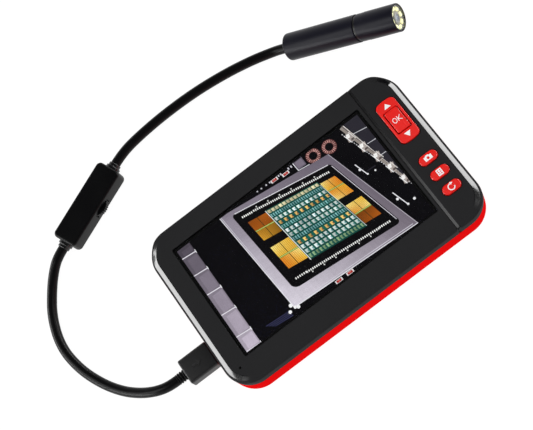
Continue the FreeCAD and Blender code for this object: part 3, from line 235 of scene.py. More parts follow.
def softened(corners: Sequence[Spot], radii: Sequence[float], steps: int = 4) -> Array:
    """An open line whose inner corners are rounded.

    At each corner an arc touches both runs at the radius times the tangent of half the turn, and
    its points come from the quadratic curve through those two touches and the corner.

    Args:
        corners: The line's corners, ends included.
        radii: One radius for each corner between the ends.
        steps: Runs in each rounded corner.

    Returns:
        The points of the line, two columns.
    """
    spots = np.array(corners, float)
    line = [spots[:1]]
    share = np.linspace(0, 1, steps + 1)[:, None]
    for i, radius in enumerate(radii, start=1):
        before, after = spots[i - 1] - spots[i], spots[i + 1] - spots[i]
        long_before, long_after = np.linalg.norm(before), np.linalg.norm(after)
        cosine = float(np.clip(before @ after / max(long_before * long_after, 1e-12), -1, 1))
        turn = math.pi - math.acos(cosine)
        reach = min(radius * math.tan(turn / 2), 0.48 * long_before, 0.48 * long_after)
        start = spots[i] + before / max(long_before, 1e-9) * reach
        end = spots[i] + after / max(long_after, 1e-9) * reach
        line.append((1 - share) ** 2 * start + 2 * share * (1 - share) * spots[i] + share ** 2 * end)
    line.append(spots[-1:])
    return np.vstack(line)


# ---------------------------------------------------------------- meshes

class Solid:
    """Gathers the faces of one closed piece in millimetres, then makes the piece in metres."""

    def __init__(self) -> None:
        self.points: list[Array] = []
        self.faces: list[list[int]] = []
        self.count = 0

    def add(self, points: Array, faces: Array | Sequence[Sequence[int]]) -> None:
        """Adds points and the faces between them, counted from the first of these points."""
        self.points.append(np.asarray(points, float))
        self.faces.extend([[int(i) + self.count for i in face] for face in faces])
        self.count += len(points)

    def join(self, other: Solid) -> None:
        """Adds another solid's points and faces."""
        self.add(np.vstack(other.points), other.faces)

    def grid(self, rows: Array, around: bool = True) -> None:
        """Adds quads between each row of points and the next.

        Args:
            rows: Points by row, column and axis.
            around: Joins the last column to the first.
        """
        high, wide = rows.shape[:2]
        columns = np.arange(wide if around else wide - 1)
        right = (columns + 1) % wide
        start = np.arange(high - 1)[:, None] * wide
        quads = np.stack((start + columns, start + right, start + wide + right,
                          start + wide + columns), axis=-1)
        self.add(rows.reshape(-1, 3), quads.reshape(-1, 4))

    def plate(self, outer: Array, holes: Sequence[Array], height: float, spacing: float = 0.0) -> None:
        """Adds a flat face inside the outer loop and outside every hole loop.

        Args:
            outer: The outer loop.
            holes: The loops of the holes.
            height: The face's height.
            spacing: Distance between further points in the face, or none where it is 0.
        """
        loops = [outer, *holes]
        flat = [Vector(p) for loop in loops for p in loop]
        edges: list[tuple[int, int]] = []
        start = 0
        for loop in loops:
            count = len(loop)
            edges += [(start + i, start + (i + 1) % count) for i in range(count)]
            start += count
        if spacing:
            low, high = outer.min(axis=0), outer.max(axis=0)
            axes = [np.arange(a + spacing / 2, b, spacing) for a, b in zip(low, high)]
            net = np.stack(np.meshgrid(*axes), axis=-1).reshape(-1, 2)
            within = inside(net, outer)
            for hole in holes:
                within &= ~inside(net, hole)
            flat += [Vector(p) for p in net[within]]
        spots, _, faces, *_ = delaunay_2d_cdt(flat, edges, [], 0, 1e-6)
        middles = np.array([np.mean([spots[i][:] for i in face], axis=0) for face in faces])
        keep = inside(middles, outer)
        for hole in holes:
            keep &= ~inside(middles, hole)
        points = np.array([(p[0], p[1], height) for p in spots])
        self.add(points, [face for face, kept in zip(faces, keep) if kept])

    def make(self, name: str, place: Matrix | None = None, sharp_deg: float = 38.0) -> Thing:
        """Merges the seams, turns every face outwards and makes the object.

        Args:
            name: The piece's name.
            place: Where the piece's own frame lies, in millimetres.
            sharp_deg: An edge that turns by more than this stays sharp.

        Returns:
            The object, at the origin, with its place in its mesh.
        """
        points = np.vstack(self.points)
        if place is not None:
            turn = np.array(place)
            points = points @ turn[:3, :3].T + turn[:3, 3]
        mesh = bpy.data.meshes.new(name)
        mesh.from_pydata((points * MM).tolist(), [], self.faces)
        work = bmesh.new()
        work.from_mesh(mesh)
        bmesh.ops.remove_doubles(work, verts=work.verts, dist=1.5e-6)
        bmesh.ops.dissolve_degenerate(work, edges=work.edges, dist=1e-7)
        bmesh.ops.recalc_face_normals(work, faces=work.faces)
        work.to_mesh(mesh)
        work.free()
        mesh.polygons.foreach_set("use_smooth", np.ones(len(mesh.polygons), bool))
        mesh.set_sharp_from_angle(angle=math.radians(sharp_deg))
        thing = bpy.data.objects.new(name, mesh)
        bpy.context.scene.collection.objects.link(thing)
        return thing


def inside(points: Array, loop: Array) -> Array:
    """Tells which points lie inside a loop: a ray along X crosses it an odd number of times."""
    x, y = points[:, :1], points[:, 1:2]
    x0, y0 = loop[:, 0], loop[:, 1]
    x1, y1 = np.roll(x0, -1), np.roll(y0, -1)
    with np.errstate(divide="ignore", invalid="ignore"):
        at = x0 + (y - y0) * (x1 - x0) / (y1 - y0)
    crossed = ((y0 > y) != (y1 > y)) & (x < at)
    return crossed.sum(axis=1) % 2 == 1


def refined(loop: Array, step: float) -> Array:
    """A closed loop with more points, so that no run is longer than the step."""
    after = np.roll(loop, -1, axis=0)
    pieces = []
    for start, end in zip(loop, after):
        count = max(1, math.ceil(float(np.linalg.norm(end - start)) / step))
        share = np.arange(count)[:, None] / count
        pieces.append(start * (1 - share) + end * share)
    return np.vstack(pieces)


def level(loop: Array, height: float | Array) -> Array:
    """A plan loop's points at one height, or each at its own."""
    return np.column_stack((loop, np.broadcast_to(height, len(loop))))


def stacked(outlines: Sequence[Array], heights: Sequence[float | Array]) -> Array:
    """Rows of points: each plan loop at its own height."""
    return np.stack([level(loop, height) for loop, height in zip(outlines, heights)])


def flat_surface(spots: Array) -> Array:
    """A surface that lifts nothing."""
    return np.zeros(len(spots))


def rounded_rows(outline: Outline, top: float, edge: float, lift: Surface, steps: int) -> list[Array]:
    """Rows over a quarter circle that turns a straight side in to the top, lifted by a surface."""
    rows = []
    for angle in np.linspace(0, QUARTER_TURN, steps):
        loop = outline.moved_out(-edge * (1 - math.cos(angle)))
        rows.append(level(loop, top - edge * (1 - math.sin(angle)) + lift(loop) * math.sin(angle)))
    return rows


def pillar(outline: Outline, bottom: float, top: float, edge: float,
           crown: Surface = flat_surface, low_edge: float = 0.05) -> Solid:
    """A closed cap that stands on an outline.

    The side is straight. At the top it turns in over a quarter circle of the edge radius, and
    from there rings shrink to the middle, each lifted by the crown at its own points. The
    bottom is the same, flat.

    Args:
        outline: The plan outline.
        bottom: Lowest height.
        top: Height of the top where it meets the edge.
        edge: Radius along the top edge.
        crown: Gives the lift at plan points.
        low_edge: Radius along the bottom edge.

    Returns:
        The solid.
    """
    centre = outline.points.mean(axis=0)
    floor = outline.moved_out(-low_edge)
    rim = outline.moved_out(-edge)
    rows = [level(centre + (floor - centre) * share, bottom) for share in (TINY, 0.5, 1.0)]
    rows.append(level(outline.points, bottom + low_edge))
    rows += rounded_rows(outline, top, edge, crown, 7)
    for share in np.linspace(1, TINY, 9)[1:]:
        loop = centre + (rim - centre) * share
        rows.append(level(loop, top + crown(loop)))
    solid = Solid()
    solid.grid(np.stack(rows))
    ring = list(range(len(floor)))
    solid.add(rows[0], [ring[::-1]])
    solid.add(rows[-1], [ring])
    return solid


def turned(profile: Array, steps: int = 96) -> Solid:
    """A closed solid of revolution about X, from an (x, radius) line that is closed or meets X."""
    angle = np.linspace(0, FULL_TURN, steps, endpoint=False)
    x, radius = profile[:, :1], profile[:, 1:2]
    rows = np.stack((np.broadcast_to(x, (len(x), steps)), radius * np.cos(angle),
                     radius * np.sin(angle)), axis=-1)
    solid = Solid()
    solid.grid(rows)
    return solid


def prism(solid: Solid, loop: Array, low: float, high: float) -> None:
    """Adds a closed upright prism between two heights."""
    count = len(loop)
    points = np.vstack((level(loop, low), level(loop, high)))
    ring = np.arange(count)
    after = (ring + 1) % count
    sides = np.column_stack((ring, after, after + count, ring + count)).tolist()
    solid.add(points, [ring[::-1].tolist(), (ring + count).tolist(), *sides])


def stroke(points: Sequence[Spot], width: float) -> Array:
    """The outline of a straight or bent stroke of one width, with square ends."""
    line = np.array(points, float)
    run = np.diff(line, axis=0)
    run /= np.linalg.norm(run, axis=1)[:, None]
    side = np.column_stack((-run[:, 1], run[:, 0]))
    corner = np.vstack((side[:1], (side[:-1] + side[1:]) / 2, side[-1:]))
    corner /= np.sum(corner * np.vstack((side[:1], side)), axis=1)[:, None]
    return np.vstack((line + corner * width / 2, (line - corner * width / 2)[::-1]))


# ---------------------------------------------------------------- shader groups

class Effect(Enum):
    """The surface effects that several finishes share."""

    GRAIN = "moulded_grain"
    DRIFT = "colour_drift"
    HANDLING = "handling_marks"
    WEAR = "edge_wear"


def feed(tree: Tree, node: Node, values: dict[str | int, object]) -> Node:
    """Gives a node's inputs their values: each is a socket to read or a plain value."""
    for name, value in values.items():
        if isinstance(value, Socket):
            tree.links.new(value, node.inputs[name])
        elif value is not None:
            node.inputs[name].default_value = value
    return node


def new_node(tree: Tree, kind: str, values: dict[str | int, object] | None = None, **settings: str) -> Node:
    """Adds a shader node with its settings and input values."""
    node = tree.nodes.new(f"ShaderNode{kind}")
    for name, value in settings.items():
        setattr(node, name, value)
    return feed(tree, node, values or {})


def new_group(kind: Effect, inputs: dict[str, float | tuple],
              outputs: dict[str, str]) -> tuple[Tree, Node, Node]:
    """Starts a node group.

    Args:
        kind: Names the group.
        inputs: The usual value of each input; a value of four numbers makes a colour socket.
        outputs: The kind of each output, Float or Color.

    Returns:
        The tree, its input node and its output node.
    """
    tree = bpy.data.node_groups.new(kind.value, "ShaderNodeTree")
    for name, usual in inputs.items():
        socket = "NodeSocketColor" if isinstance(usual, tuple) else "NodeSocketFloat"
        tree.interface.new_socket(name, in_out="INPUT", socket_type=socket).default_value = usual
    for name, socket in outputs.items():
        tree.interface.new_socket(name, in_out="OUTPUT", socket_type=f"NodeSocket{socket}")
    return tree, tree.nodes.new("NodeGroupInput"), tree.nodes.new("NodeGroupOutput")


def maths(tree: Tree, operation: str, first: object, second: object, third: object = None) -> Socket:
    """Adds a Math node whose inputs are sockets or numbers, and gives its output."""
    return new_node(tree, "Math", {0: first, 1: second, 2: third}, operation=operation).outputs[0]


def noise(tree: Tree, scale: object, detail: float,
          stretch: tuple[float, float, float] = (1, 1, 1)) -> Socket:
    """Adds a noise texture on Object coordinates, stretched along the axes, and gives its value."""
    place = new_node(tree, "TexCoord").outputs["Object"]
    spot = new_node(tree, "Mapping", {"Scale": stretch, "Vector": place}).outputs["Vector"]
    return new_node(tree, "TexNoise", {"Scale": scale, "Detail": detail, "Vector": spot}).outputs["Fac"]


def mixed(tree: Tree, share: object, first: object, second: object) -> Socket:
    """Adds a colour Mix node, whose colours are its inputs 6 and 7, and gives its result."""
    node = new_node(tree, "Mix", data_type="RGBA")
    return feed(tree, node, {0: share, 6: first, 7: second}).outputs[2]


def grain_group() -> Tree:
    """Spark-eroded mould texture: fine cells with a coarser cloud over them, as a height."""
    tree, start, end = new_group(Effect.GRAIN, {"Scale": 4000.0}, {"Height": "Float"})
    scale = start.outputs["Scale"]
    place = new_node(tree, "TexCoord").outputs["Object"]
    cells = new_node(tree, "TexVoronoi", {"Vector": place, "Scale": scale}).outputs["Distance"]
    coarse = noise(tree, maths(tree, "MULTIPLY", scale, 0.4), 3.0)
    feed(tree, end, {"Height": maths(tree, "MULTIPLY_ADD", cells, 0.6, coarse)})
    return tree


def drift_group() -> Tree:
    """Slow change of tone over the surface, lighter and darker by the amount."""
    tree, start, end = new_group(Effect.DRIFT, {"Colour": (0.5, 0.5, 0.5, 1), "Amount": 0.1, "Scale": 60.0},
                                 {"Colour": "Color"})
    swing = maths(tree, "SUBTRACT", noise(tree, start.outputs["Scale"], 4.0), 0.5)
    gain = maths(tree, "MULTIPLY_ADD", swing, maths(tree, "MULTIPLY", start.outputs["Amount"], 2.0), 1.0)
    scaled = new_node(tree, "VectorMath", {0: start.outputs["Colour"]}, operation="SCALE")
    feed(tree, scaled, {"Scale": gain})
    feed(tree, end, {"Colour": scaled.outputs[0]})
    return tree


def handling_group() -> Tree:
    """Roughness of a surface that is handled: soft smudges, and fine hairlines across them."""
    tree, start, end = new_group(Effect.HANDLING, {"Roughness": 0.4, "Amount": 0.1}, {"Roughness": "Float"})
    smudge = maths(tree, "SUBTRACT", noise(tree, 90.0, 3.0), 0.5)
    hair = maths(tree, "GREATER_THAN", noise(tree, 420.0, 2.0, (1.0, 0.06, 0.5)), 0.69)
    total = maths(tree, "ADD", smudge, maths(tree, "MULTIPLY", hair, 0.25))
    rough = maths(tree, "MULTIPLY_ADD", total, start.outputs["Amount"], start.outputs["Roughness"])
    feed(tree, end, {"Roughness": rough})
    return tree


def wear_group() -> Tree:
    """Edges rubbed lighter, where the surface bulges, broken up by noise."""
    tree, start, end = new_group(
        Effect.WEAR, {"Colour": (0.5, 0.5, 0.5, 1), "Worn": (0.7, 0.7, 0.7, 1), "Amount": 0.3},
        {"Colour": "Color"})
    bulge = new_node(tree, "NewGeometry").outputs["Pointiness"]
    edge = new_node(tree, "MapRange", {"From Min": 0.53, "From Max": 0.62, "Value": bulge}).outputs["Result"]
    rub = maths(tree, "MULTIPLY", edge, noise(tree, 700.0, 4.0))
    mask = maths(tree, "MULTIPLY", rub, start.outputs["Amount"])
    feed(tree, end, {"Colour": mixed(tree, mask, start.outputs["Colour"], start.outputs["Worn"])})
    return tree


GROUPS = {
    Effect.GRAIN: grain_group(),
    Effect.DRIFT: drift_group(),
    Effect.HANDLING: handling_group(),
    Effect.WEAR: wear_group(),
}


def effect(tree: Tree, kind: Effect, **values: object) -> Socket:
    """Places a shared effect in a material and gives its result."""
    node = tree.nodes.new("ShaderNodeGroup")
    node.node_tree = GROUPS[kind]
    return feed(tree, node, values).outputs[0]


def new_material(name: str) -> tuple[Material, Tree, Node]:
    """Makes a material with one Principled shader and gives it, its tree and the shader."""
    material = bpy.data.materials.new(name)
    material.use_nodes = True
    tree = material.node_tree
    tree.nodes.clear()
    shader = new_node(tree, "BsdfPrincipled")
    new_node(tree, "OutputMaterial", {"Surface": shader.outputs["BSDF"]})
    return material, tree, shader


def bump(tree: Tree, height: Socket, depth_m: float) -> Socket:
    """Turns a height of the given depth into a normal."""
    return new_node(tree, "Bump", {"Distance": depth_m, "Strength": 1.0, "Height": height}).outputs["Normal"]


def attribute(tree: Tree, name: str) -> Node:
    """Reads an attribute of the mesh."""
    return new_node(tree, "Attribute", attribute_name=name)


# ---------------------------------------------------------------- finishes

@dataclass(frozen=True)
class Plastic:
    """Moulded plastic, satin or gloss, with mould grain, drift of tone and handling marks."""

    colour: Colour
    roughness: float = 0.45
    gloss: float = 0.4
    grain_scale: float = 5200.0
    grain_depth: float = 6e-6
    drift: float = 0.10
    marks: float = 0.12
    worn: float = 0.0
    coat: float = 0.0
    coat_roughness: float = 0.06

    def material(self, name: str) -> Material:
        """The finish as a material of that name."""
        material, tree, shader = new_material(name)
        tone = effect(tree, Effect.DRIFT, Colour=(*self.colour, 1), Amount=self.drift)
        if self.worn:
            light = tuple(min(1.0, 0.12 + 1.5 * c) for c in self.colour)
            tone = effect(tree, Effect.WEAR, Colour=tone, Worn=(*light, 1), Amount=self.worn)
        feed(tree, shader, {
            "Base Color": tone,
            "Roughness": effect(tree, Effect.HANDLING, Roughness=self.roughness, Amount=self.marks),
            "Specular IOR Level": self.gloss,
            "Coat Weight": self.coat,
            "Coat Roughness": self.coat_roughness,
            "Normal": bump(tree, effect(tree, Effect.GRAIN, Scale=self.grain_scale), self.grain_depth),
        })
        return material


@dataclass(frozen=True)
class Bezel:
    """The unit's black front: satin face, and a polished bevel where the mesh says so."""

    colour: Colour = srgb(40, 40, 41)
    satin: float = 0.46
    gloss: float = 0.015
    polished: float = 0.10
    polished_gloss: float = 0.5
    polished_colour: Colour = srgb(10, 10, 11)
    grain_scale: float = 5600.0
    grain_depth: float = 7e-6

    def material(self, name: str) -> Material:
        """The finish as a material of that name."""
        material, tree, shader = new_material(name)
        mask = attribute(tree, "polish").outputs["Fac"]
        face = effect(tree, Effect.DRIFT, Colour=(*self.colour, 1), Amount=0.10, Scale=35.0)
        rough = maths(tree, "MULTIPLY_ADD", mask, self.polished - self.satin, self.satin)
        grain = effect(tree, Effect.GRAIN, Scale=self.grain_scale)
        plain = maths(tree, "SUBTRACT", 1.0, mask)
        extra = self.polished_gloss - self.gloss
        feed(tree, shader, {
            "Base Color": mixed(tree, mask, face, (*self.polished_colour, 1)),
            "Roughness": effect(tree, Effect.HANDLING, Roughness=rough, Amount=0.09),
            "Specular IOR Level": maths(tree, "MULTIPLY_ADD", mask, extra, self.gloss),
            "Normal": bump(tree, maths(tree, "MULTIPLY", grain, plain), self.grain_depth),
        })
        return material


@dataclass(frozen=True)
class Rubber:
    """Soft black jacket or seal: low gloss, fine pebbling and a little dust in it."""

    colour: Colour
    roughness: float = 0.5
    gloss: float = 0.4
    pebble: float = 2600.0
    depth: float = 1.2e-5
    dust: float = 0.03
    dust_colour: Colour = (0.35, 0.33, 0.30)

    def material(self, name: str) -> Material:
        """The finish as a material of that name."""
        material, tree, shader = new_material(name)
        base = effect(tree, Effect.DRIFT, Colour=(*self.colour, 1), Amount=0.15, Scale=120.0)
        powder = maths(tree, "MULTIPLY", noise(tree, 900.0, 5.0), self.dust)
        feed(tree, shader, {
            "Base Color": mixed(tree, powder, base, (*self.dust_colour, 1)),
            "Roughness": effect(tree, Effect.HANDLING, Roughness=self.roughness, Amount=0.15),
            "Specular IOR Level": self.gloss,
            "Normal": bump(tree, effect(tree, Effect.GRAIN, Scale=self.pebble), self.depth),
        })
        return material


@dataclass(frozen=True)
class Metal:
    """Turned, rolled or plated metal: fine lines across it, smudges and rubbed edges."""

    colour: Colour
    roughness: float = 0.3
    lines: tuple[float, float, float] = (1.0, 1.0, 14.0)
    depth: float = 1.5e-6
    worn: float = 0.0
    worn_colour: Colour = (0.55, 0.55, 0.56)

    def material(self, name: str) -> Material:
        """The finish as a material of that name."""
        material, tree, shader = new_material(name)
        tone = effect(tree, Effect.DRIFT, Colour=(*self.colour, 1), Amount=0.08, Scale=150.0)
        if self.worn:
            tone = effect(tree, Effect.WEAR, Colour=tone, Worn=(*self.worn_colour, 1), Amount=self.worn)
        feed(tree, shader, {
            "Base Color": tone,
            "Roughness": effect(tree, Effect.HANDLING, Roughness=self.roughness, Amount=0.14),
            "Metallic": 1.0,
            "Normal": bump(tree, noise(tree, 900.0, 3.0, self.lines), self.depth),
        })
        return material


@dataclass(frozen=True)
class Clear:
    """Clear plastic or glass, with the faintest smudges in its polish."""

    tint: Colour = (0.97, 0.98, 0.99)
    ior: float = 1.45

    def material(self, name: str) -> Material:
        """The finish as a material of that name."""
        material, tree, shader = new_material(name)
        feed(tree, shader, {
            "Transmission Weight": 1.0,
            "IOR": self.ior,
            "Base Color": effect(tree, Effect.DRIFT, Colour=(*self.tint, 1), Amount=0.01, Scale=40.0),
            "Roughness": effect(tree, Effect.HANDLING, Roughness=0.012, Amount=0.012),
        })
        return material


@dataclass(frozen=True)
class Lamp:
    """A lit surface: its light drifts a little, as a diffuser's does."""

    colour: Colour
    strength: float
    drift: float = 0.05
    ground: Colour = (0.6, 0.58, 0.45)

    def material(self, name: str) -> Material:
        """The finish as a material of that name."""
        material, tree, shader = new_material(name)
        feed(tree, shader, {
            "Base Color": (*self.ground, 1),
            "Roughness": 0.6,
            "Emission Color": effect(tree, Effect.DRIFT, Colour=(*self.colour, 1), Amount=self.drift,
                                     Scale=900.0),
            "Emission Strength": self.strength,
        })
        return material


@dataclass(frozen=True)
class PictureLight:
    """The display's lit picture: each plate's own colour, with fine mottling in it."""

    strength: float = 1.0
    ground: Colour = (0.002, 0.002, 0.002)

    def material(self, name: str) -> Material:
        """The finish as a material of that name."""
        material, tree, shader = new_material(name)
        tint = attribute(tree, "tint").outputs["Color"]
        fine = effect(tree, Effect.DRIFT, Colour=tint, Amount=0.22, Scale=2600.0)
        feed(tree, shader, {
            "Base Color": (*self.ground, 1),
            "Roughness": 0.5,
            "Specular IOR Level": 0.0,
            "Emission Color": effect(tree, Effect.DRIFT, Colour=fine, Amount=0.16, Scale=160.0),
            "Emission Strength": self.strength,
        })
        return material


class Slot(Enum):
    """The record's material slots."""

    BEZEL = "black_bezel"
    SHELL = "red_shell"
    KEYS = "red_keys"
    WINDOW = "clear_window"
    DISPLAY = "display"
    TRAY = "tray_metal"
    FOAM = "foam"
    RIBBON = "ribbon_film"
    BOARD = "circuit_green"
    CHIP = "chip_black"
    COIL = "coil_grey"
    BATTERY = "battery_foil"
    PLATED = "plated_steel"
    SCREW = "screw_steel"
    PIPE = "clear_pipe"
    LAMP = "lamp_white"
    SWITCH = "switch_black"
    CARD = "card_black"
    GRIP = "grip_black"
    CABLE = "cable_black"
    DIMMER = "dimmer_black"
    HEAD = "head_black"
    SEAL = "seal_black"
    LIGHT_BOARD = "light_board_olive"
    LIGHTS = "light_yellow"
    LENS = "lens_black"


FINISHES: dict[Slot, object] = {
    Slot.BEZEL: Bezel(),
    Slot.SHELL: Plastic(srgb(242, 16, 18), roughness=0.30, gloss=0.0, grain_depth=1.5e-6, drift=0.04,
                        marks=0.08),
    Slot.KEYS: Plastic(srgb(238, 26, 18), roughness=0.24, gloss=0.4, grain_depth=2e-6, drift=0.10,
                       marks=0.10),
    Slot.WINDOW: Clear(),
    Slot.DISPLAY: Plastic(srgb(6, 6, 8), roughness=0.12, gloss=0.5, grain_depth=3e-7, marks=0.03),
    Slot.TRAY: Metal(srgb(190, 190, 192), roughness=0.34, lines=(14.0, 1.0, 1.0)),
    Slot.FOAM: Rubber(srgb(40, 40, 40), roughness=0.85, pebble=1500.0, depth=6e-5),
    Slot.RIBBON: Plastic(srgb(190, 120, 45), roughness=0.30, grain_depth=3e-6),
    Slot.BOARD: Plastic(srgb(14, 84, 48), roughness=0.28, grain_scale=2400.0, grain_depth=8e-6, drift=0.25),
    Slot.CHIP: Plastic(srgb(34, 34, 35), roughness=0.5),
    Slot.COIL: Plastic(srgb(84, 84, 88), roughness=0.6, grain_depth=1.2e-5),
    Slot.BATTERY: Metal(srgb(188, 190, 193), roughness=0.36, lines=(1.0, 1.0, 1.0), depth=1.2e-5),
    Slot.PLATED: Metal(srgb(205, 205, 206), roughness=0.20, worn=0.2),
    Slot.SCREW: Metal(srgb(120, 120, 124), roughness=0.34, worn=0.4),
    Slot.PIPE: Clear(tint=(0.9, 0.92, 0.94)),
    Slot.LAMP: Plastic(srgb(225, 225, 205), roughness=0.35),
    Slot.SWITCH: Plastic(srgb(36, 36, 36), roughness=0.5),
    Slot.CARD: Plastic(srgb(30, 30, 32), roughness=0.4),
    Slot.GRIP: Plastic(srgb(20, 20, 21), roughness=0.40, grain_scale=3600.0, grain_depth=1.4e-5, worn=0.10),
    Slot.CABLE: Rubber(srgb(7, 7, 8), roughness=0.30, gloss=0.14, dust=0.003),
    Slot.DIMMER: Plastic(srgb(7, 7, 8), roughness=0.34, gloss=0.12, grain_scale=3000.0, grain_depth=1.2e-5,
                         worn=0.03),
    Slot.HEAD: Plastic(srgb(17, 17, 27), roughness=0.34, gloss=0.14, grain_depth=3e-6, worn=0.04),
    Slot.SEAL: Rubber(srgb(12, 12, 12), roughness=0.3),
    Slot.LIGHT_BOARD: Plastic(srgb(150, 140, 92), roughness=0.4, drift=0.25),
    Slot.LIGHTS: Lamp(srgb(243, 240, 158), 0.95),
    Slot.LENS: Plastic(srgb(120, 118, 104), roughness=0.32, gloss=0.5),
}


@dataclass
class Workshop:
    """Makes each finish once, and gives pieces the finish of their slot, and their body."""

    made: dict[str, Material]

    def finish_of(self, slot: Slot) -> Material:
        """The material of a slot."""
        if slot.value not in self.made:
            self.made[slot.value] = FINISHES[slot].material(slot.value)
        return self.made[slot.value]

    def special(self, name: str, finish: object) -> Material:
        """A material of its own for one kind of piece."""
        if name not in self.made:
            self.made[name] = finish.material(name)
        return self.made[name]

    def add(self, piece: Thing, body: str, slot: Slot, replaces: Sequence[str] = (),
            material: Material | None = None) -> Thing:
        """Dresses a piece, puts it on its body and hides the model nodes that it stands for.

        Args:
            piece: The finished piece.
            body: The body that it moves with.
            slot: The record's slot that it takes its finish from.
            replaces: The model nodes that it stands for.
            material: Its material, where that isn't the slot's own.

        Returns:
            The piece.
        """
        piece.data.materials.clear()
        piece.data.materials.append(material or self.finish_of(slot))
        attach(piece, body)
        if replaces:
            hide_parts(*replaces)
        log.info("%s on %s", piece.name, body)
        return piece

    def dress_model(self) -> None:
        """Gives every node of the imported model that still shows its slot's finish and soft shading.

        The mesh keeps its points: a weld and a split at sharp edges come as modifiers.
        """
        slots = {row["node"]: Slot(row["material_slot"]) for row in frame["record"]["subparts"]}
        for name, node in frame["nodes"].items():
            if node.hide_render:
                continue
            node.data.materials.clear()
            node.data.materials.append(self.finish_of(slots[name]))
            node.data.polygons.foreach_set("use_smooth", np.ones(len(node.data.polygons), bool))
            weld = node.modifiers.new("weld", "WELD")
            weld.merge_threshold = 1e-6
            split = node.modifiers.new("edges", "EDGE_SPLIT")
            split.split_angle = math.radians(32)


# ---------------------------------------------------------------- screen unit: bezel

@dataclass
class BezelShell:
    """The unit's black front: top plate with its openings, rounded sides and polished end bevels."""

    corner_radius: float = 12.0
    wall: float = 2.0
    plate_under: float = 16.5
    window_overlap: float = 1.0
    window_clearance: float = 0.1
    window_top: float = 17.6
    groove_from_opening: float = 1.95
    groove_depth: float = 0.45
    groove_half_width: float = 0.65
    groove_polish: float = 0.8
    band_start: float = 1.1
    band_end: float = 3.0
    key_gap: float = 0.25
    hole_edge: float = 0.18
    pinhole_radius: float = 0.55
    corner_steps: int = 24

    def __post_init__(self) -> None:
        low, high = span("front_housing")
        self.length, self.width = high[0] - low[0], high[1] - low[1]
        self.parting, self.top = span("rear_housing")[1][2], high[2]
        glass_low, glass_high = span("screen_window")
        glass_middle = (glass_low + glass_high) / 2
        self.screen = (glass_middle[0], glass_middle[1])
        self.glass_size = (glass_high - glass_low)[:2]
        self.opening = self.glass_size - 2 * self.window_overlap
        self.groove_x = self.screen[0] + self.opening[0] / 2 + self.groove_from_opening
        pipe_low, pipe_high = span("status_light_pipe")
        self.pinhole = (pipe_low + pipe_high)[:2] / 2

    def end_profile(self) -> Array:
        """The skin at the short ends, as inset and height: a wide bevel, a fine line cut above it."""
        top = self.top
        corners = ((0.2, self.parting), (0.0, self.parting + 0.25), (0.0, top - 2.25), (2.95, top - 0.13),
                   (3.02, top - 0.30), (3.2, top - 0.30), (3.26, top), (4.2, top))
        return softened(corners, (0.1, 2.3, 0.06, 0.05, 0.05, 0.05), 6)

    def side_profile(self) -> Array:
        """The skin at the long sides: a plain round edge, as many rows as at the ends."""
        top = self.top
        corners = ((0.2, self.parting), (0.0, self.parting + 0.25), (0.0, top), (2.6, top),
                   (2.9, top), (3.1, top), (3.26, top), (4.2, top))
        return softened(corners, (0.1, 1.9, 0.02, 0.02, 0.02, 0.02), 6)

    def groove(self, points: Array) -> Array:
        """How far the skin sinks at each point: a steep wall on the screen side, a long slope after."""
        along = points[:, 0] - self.groove_x
        steep = smooth_step(along, -self.groove_half_width, -self.groove_half_width + 0.16)
        slope = 1 - np.clip((along + self.groove_half_width - 0.16) / (2 * self.groove_half_width), 0, 1)
        return self.groove_depth * steep * slope

    def skin(self) -> tuple[Array, Array]:
        """The outer skin from the parting line to the flat top.

        Returns:
            Rows of points, and the polish at each.
        """
        near = self.groove_x + np.linspace(-1.4, 1.4, 29)
        along = np.concatenate((np.linspace(-50, 43, 32), near, (50.0, 51.5)))
        outline = rounded_rectangle(self.length, self.width, self.corner_radius, self.corner_steps,
                                    on_sides=along, side_steps=24)
        ends, sides = self.end_profile(), self.side_profile()
        turn = int(np.argmax(ends[:, 0] > self.band_start))
        share = (self.band_start - ends[turn - 1, 0]) / (ends[turn, 0] - ends[turn - 1, 0])
        ends, sides = (np.insert(line, turn, line[turn - 1] * (1 - share) + line[turn] * share, axis=0)
                       for line in (ends, sides))
        polish = (ends[:, 0] > self.band_start - 0.01) & (ends[:, 0] < self.band_end)
        weight = smooth_step(np.abs(outline.normals[:, 0]), 0.35, 0.9)
        rows, shine = [], []
        for end, side, gloss in zip(ends, sides, polish):
            line = end[None] * weight[:, None] + side[None] * (1 - weight[:, None])
            loop = outline.points - outline.normals * line[:, :1]
            rows.append(np.column_stack((loop, line[:, 1])))
            shine.append(gloss * weight)
        skin, shine_rows = np.stack(rows), np.stack(shine)
        sink = self.groove(skin.reshape(-1, 3)).reshape(skin.shape[:2])
        sink = np.where(np.abs(outline.normals[:, 1]) > 0.99, sink, 0)
        inward = np.where(skin[..., 2] > self.top - 0.6, 0, 1)
        skin[..., 1] -= sink * inward * np.sign(skin[..., 1])
        skin[..., 2] -= sink * (1 - inward)
        return skin, shine_rows

    def key_holes(self) -> list[Outline]:
        """The openings for the navigation key and the three round-ended keys."""
        gap = 2 * self.key_gap
        holes = []
        for node in ("nav_rocker", "photo_button", "menu_button", "back_button"):
            low, high = span(node)
            length, width = (high - low + gap)[:2]
            if node == "nav_rocker":
                bow = KeyPad.rocker_bow
                hole = bowed_rectangle(length, width - 2 * bow, bow, KeyPad.rocker_corner)
            else:
                flange = 2 * KeyPad.round_flange
                hole = stadium(length - flange, width - flange)
            holes.append(hole.shifted(*((low + high) / 2)[:2]))
        return holes

    def rim(self, solid: Solid, hole: Outline, low: float) -> Array:
        """Adds a hole's wall with a rounded top edge, and gives its loop on the flat top."""
        turn = np.linspace(0, QUARTER_TURN, 5)
        loops = [hole.moved_out(self.hole_edge * (1 - math.cos(a))) for a in turn]
        heights = [self.top - self.hole_edge * (1 - math.sin(a)) for a in turn]
        solid.grid(stacked([hole.points, *loops], [low, *heights]))
        return loops[-1]

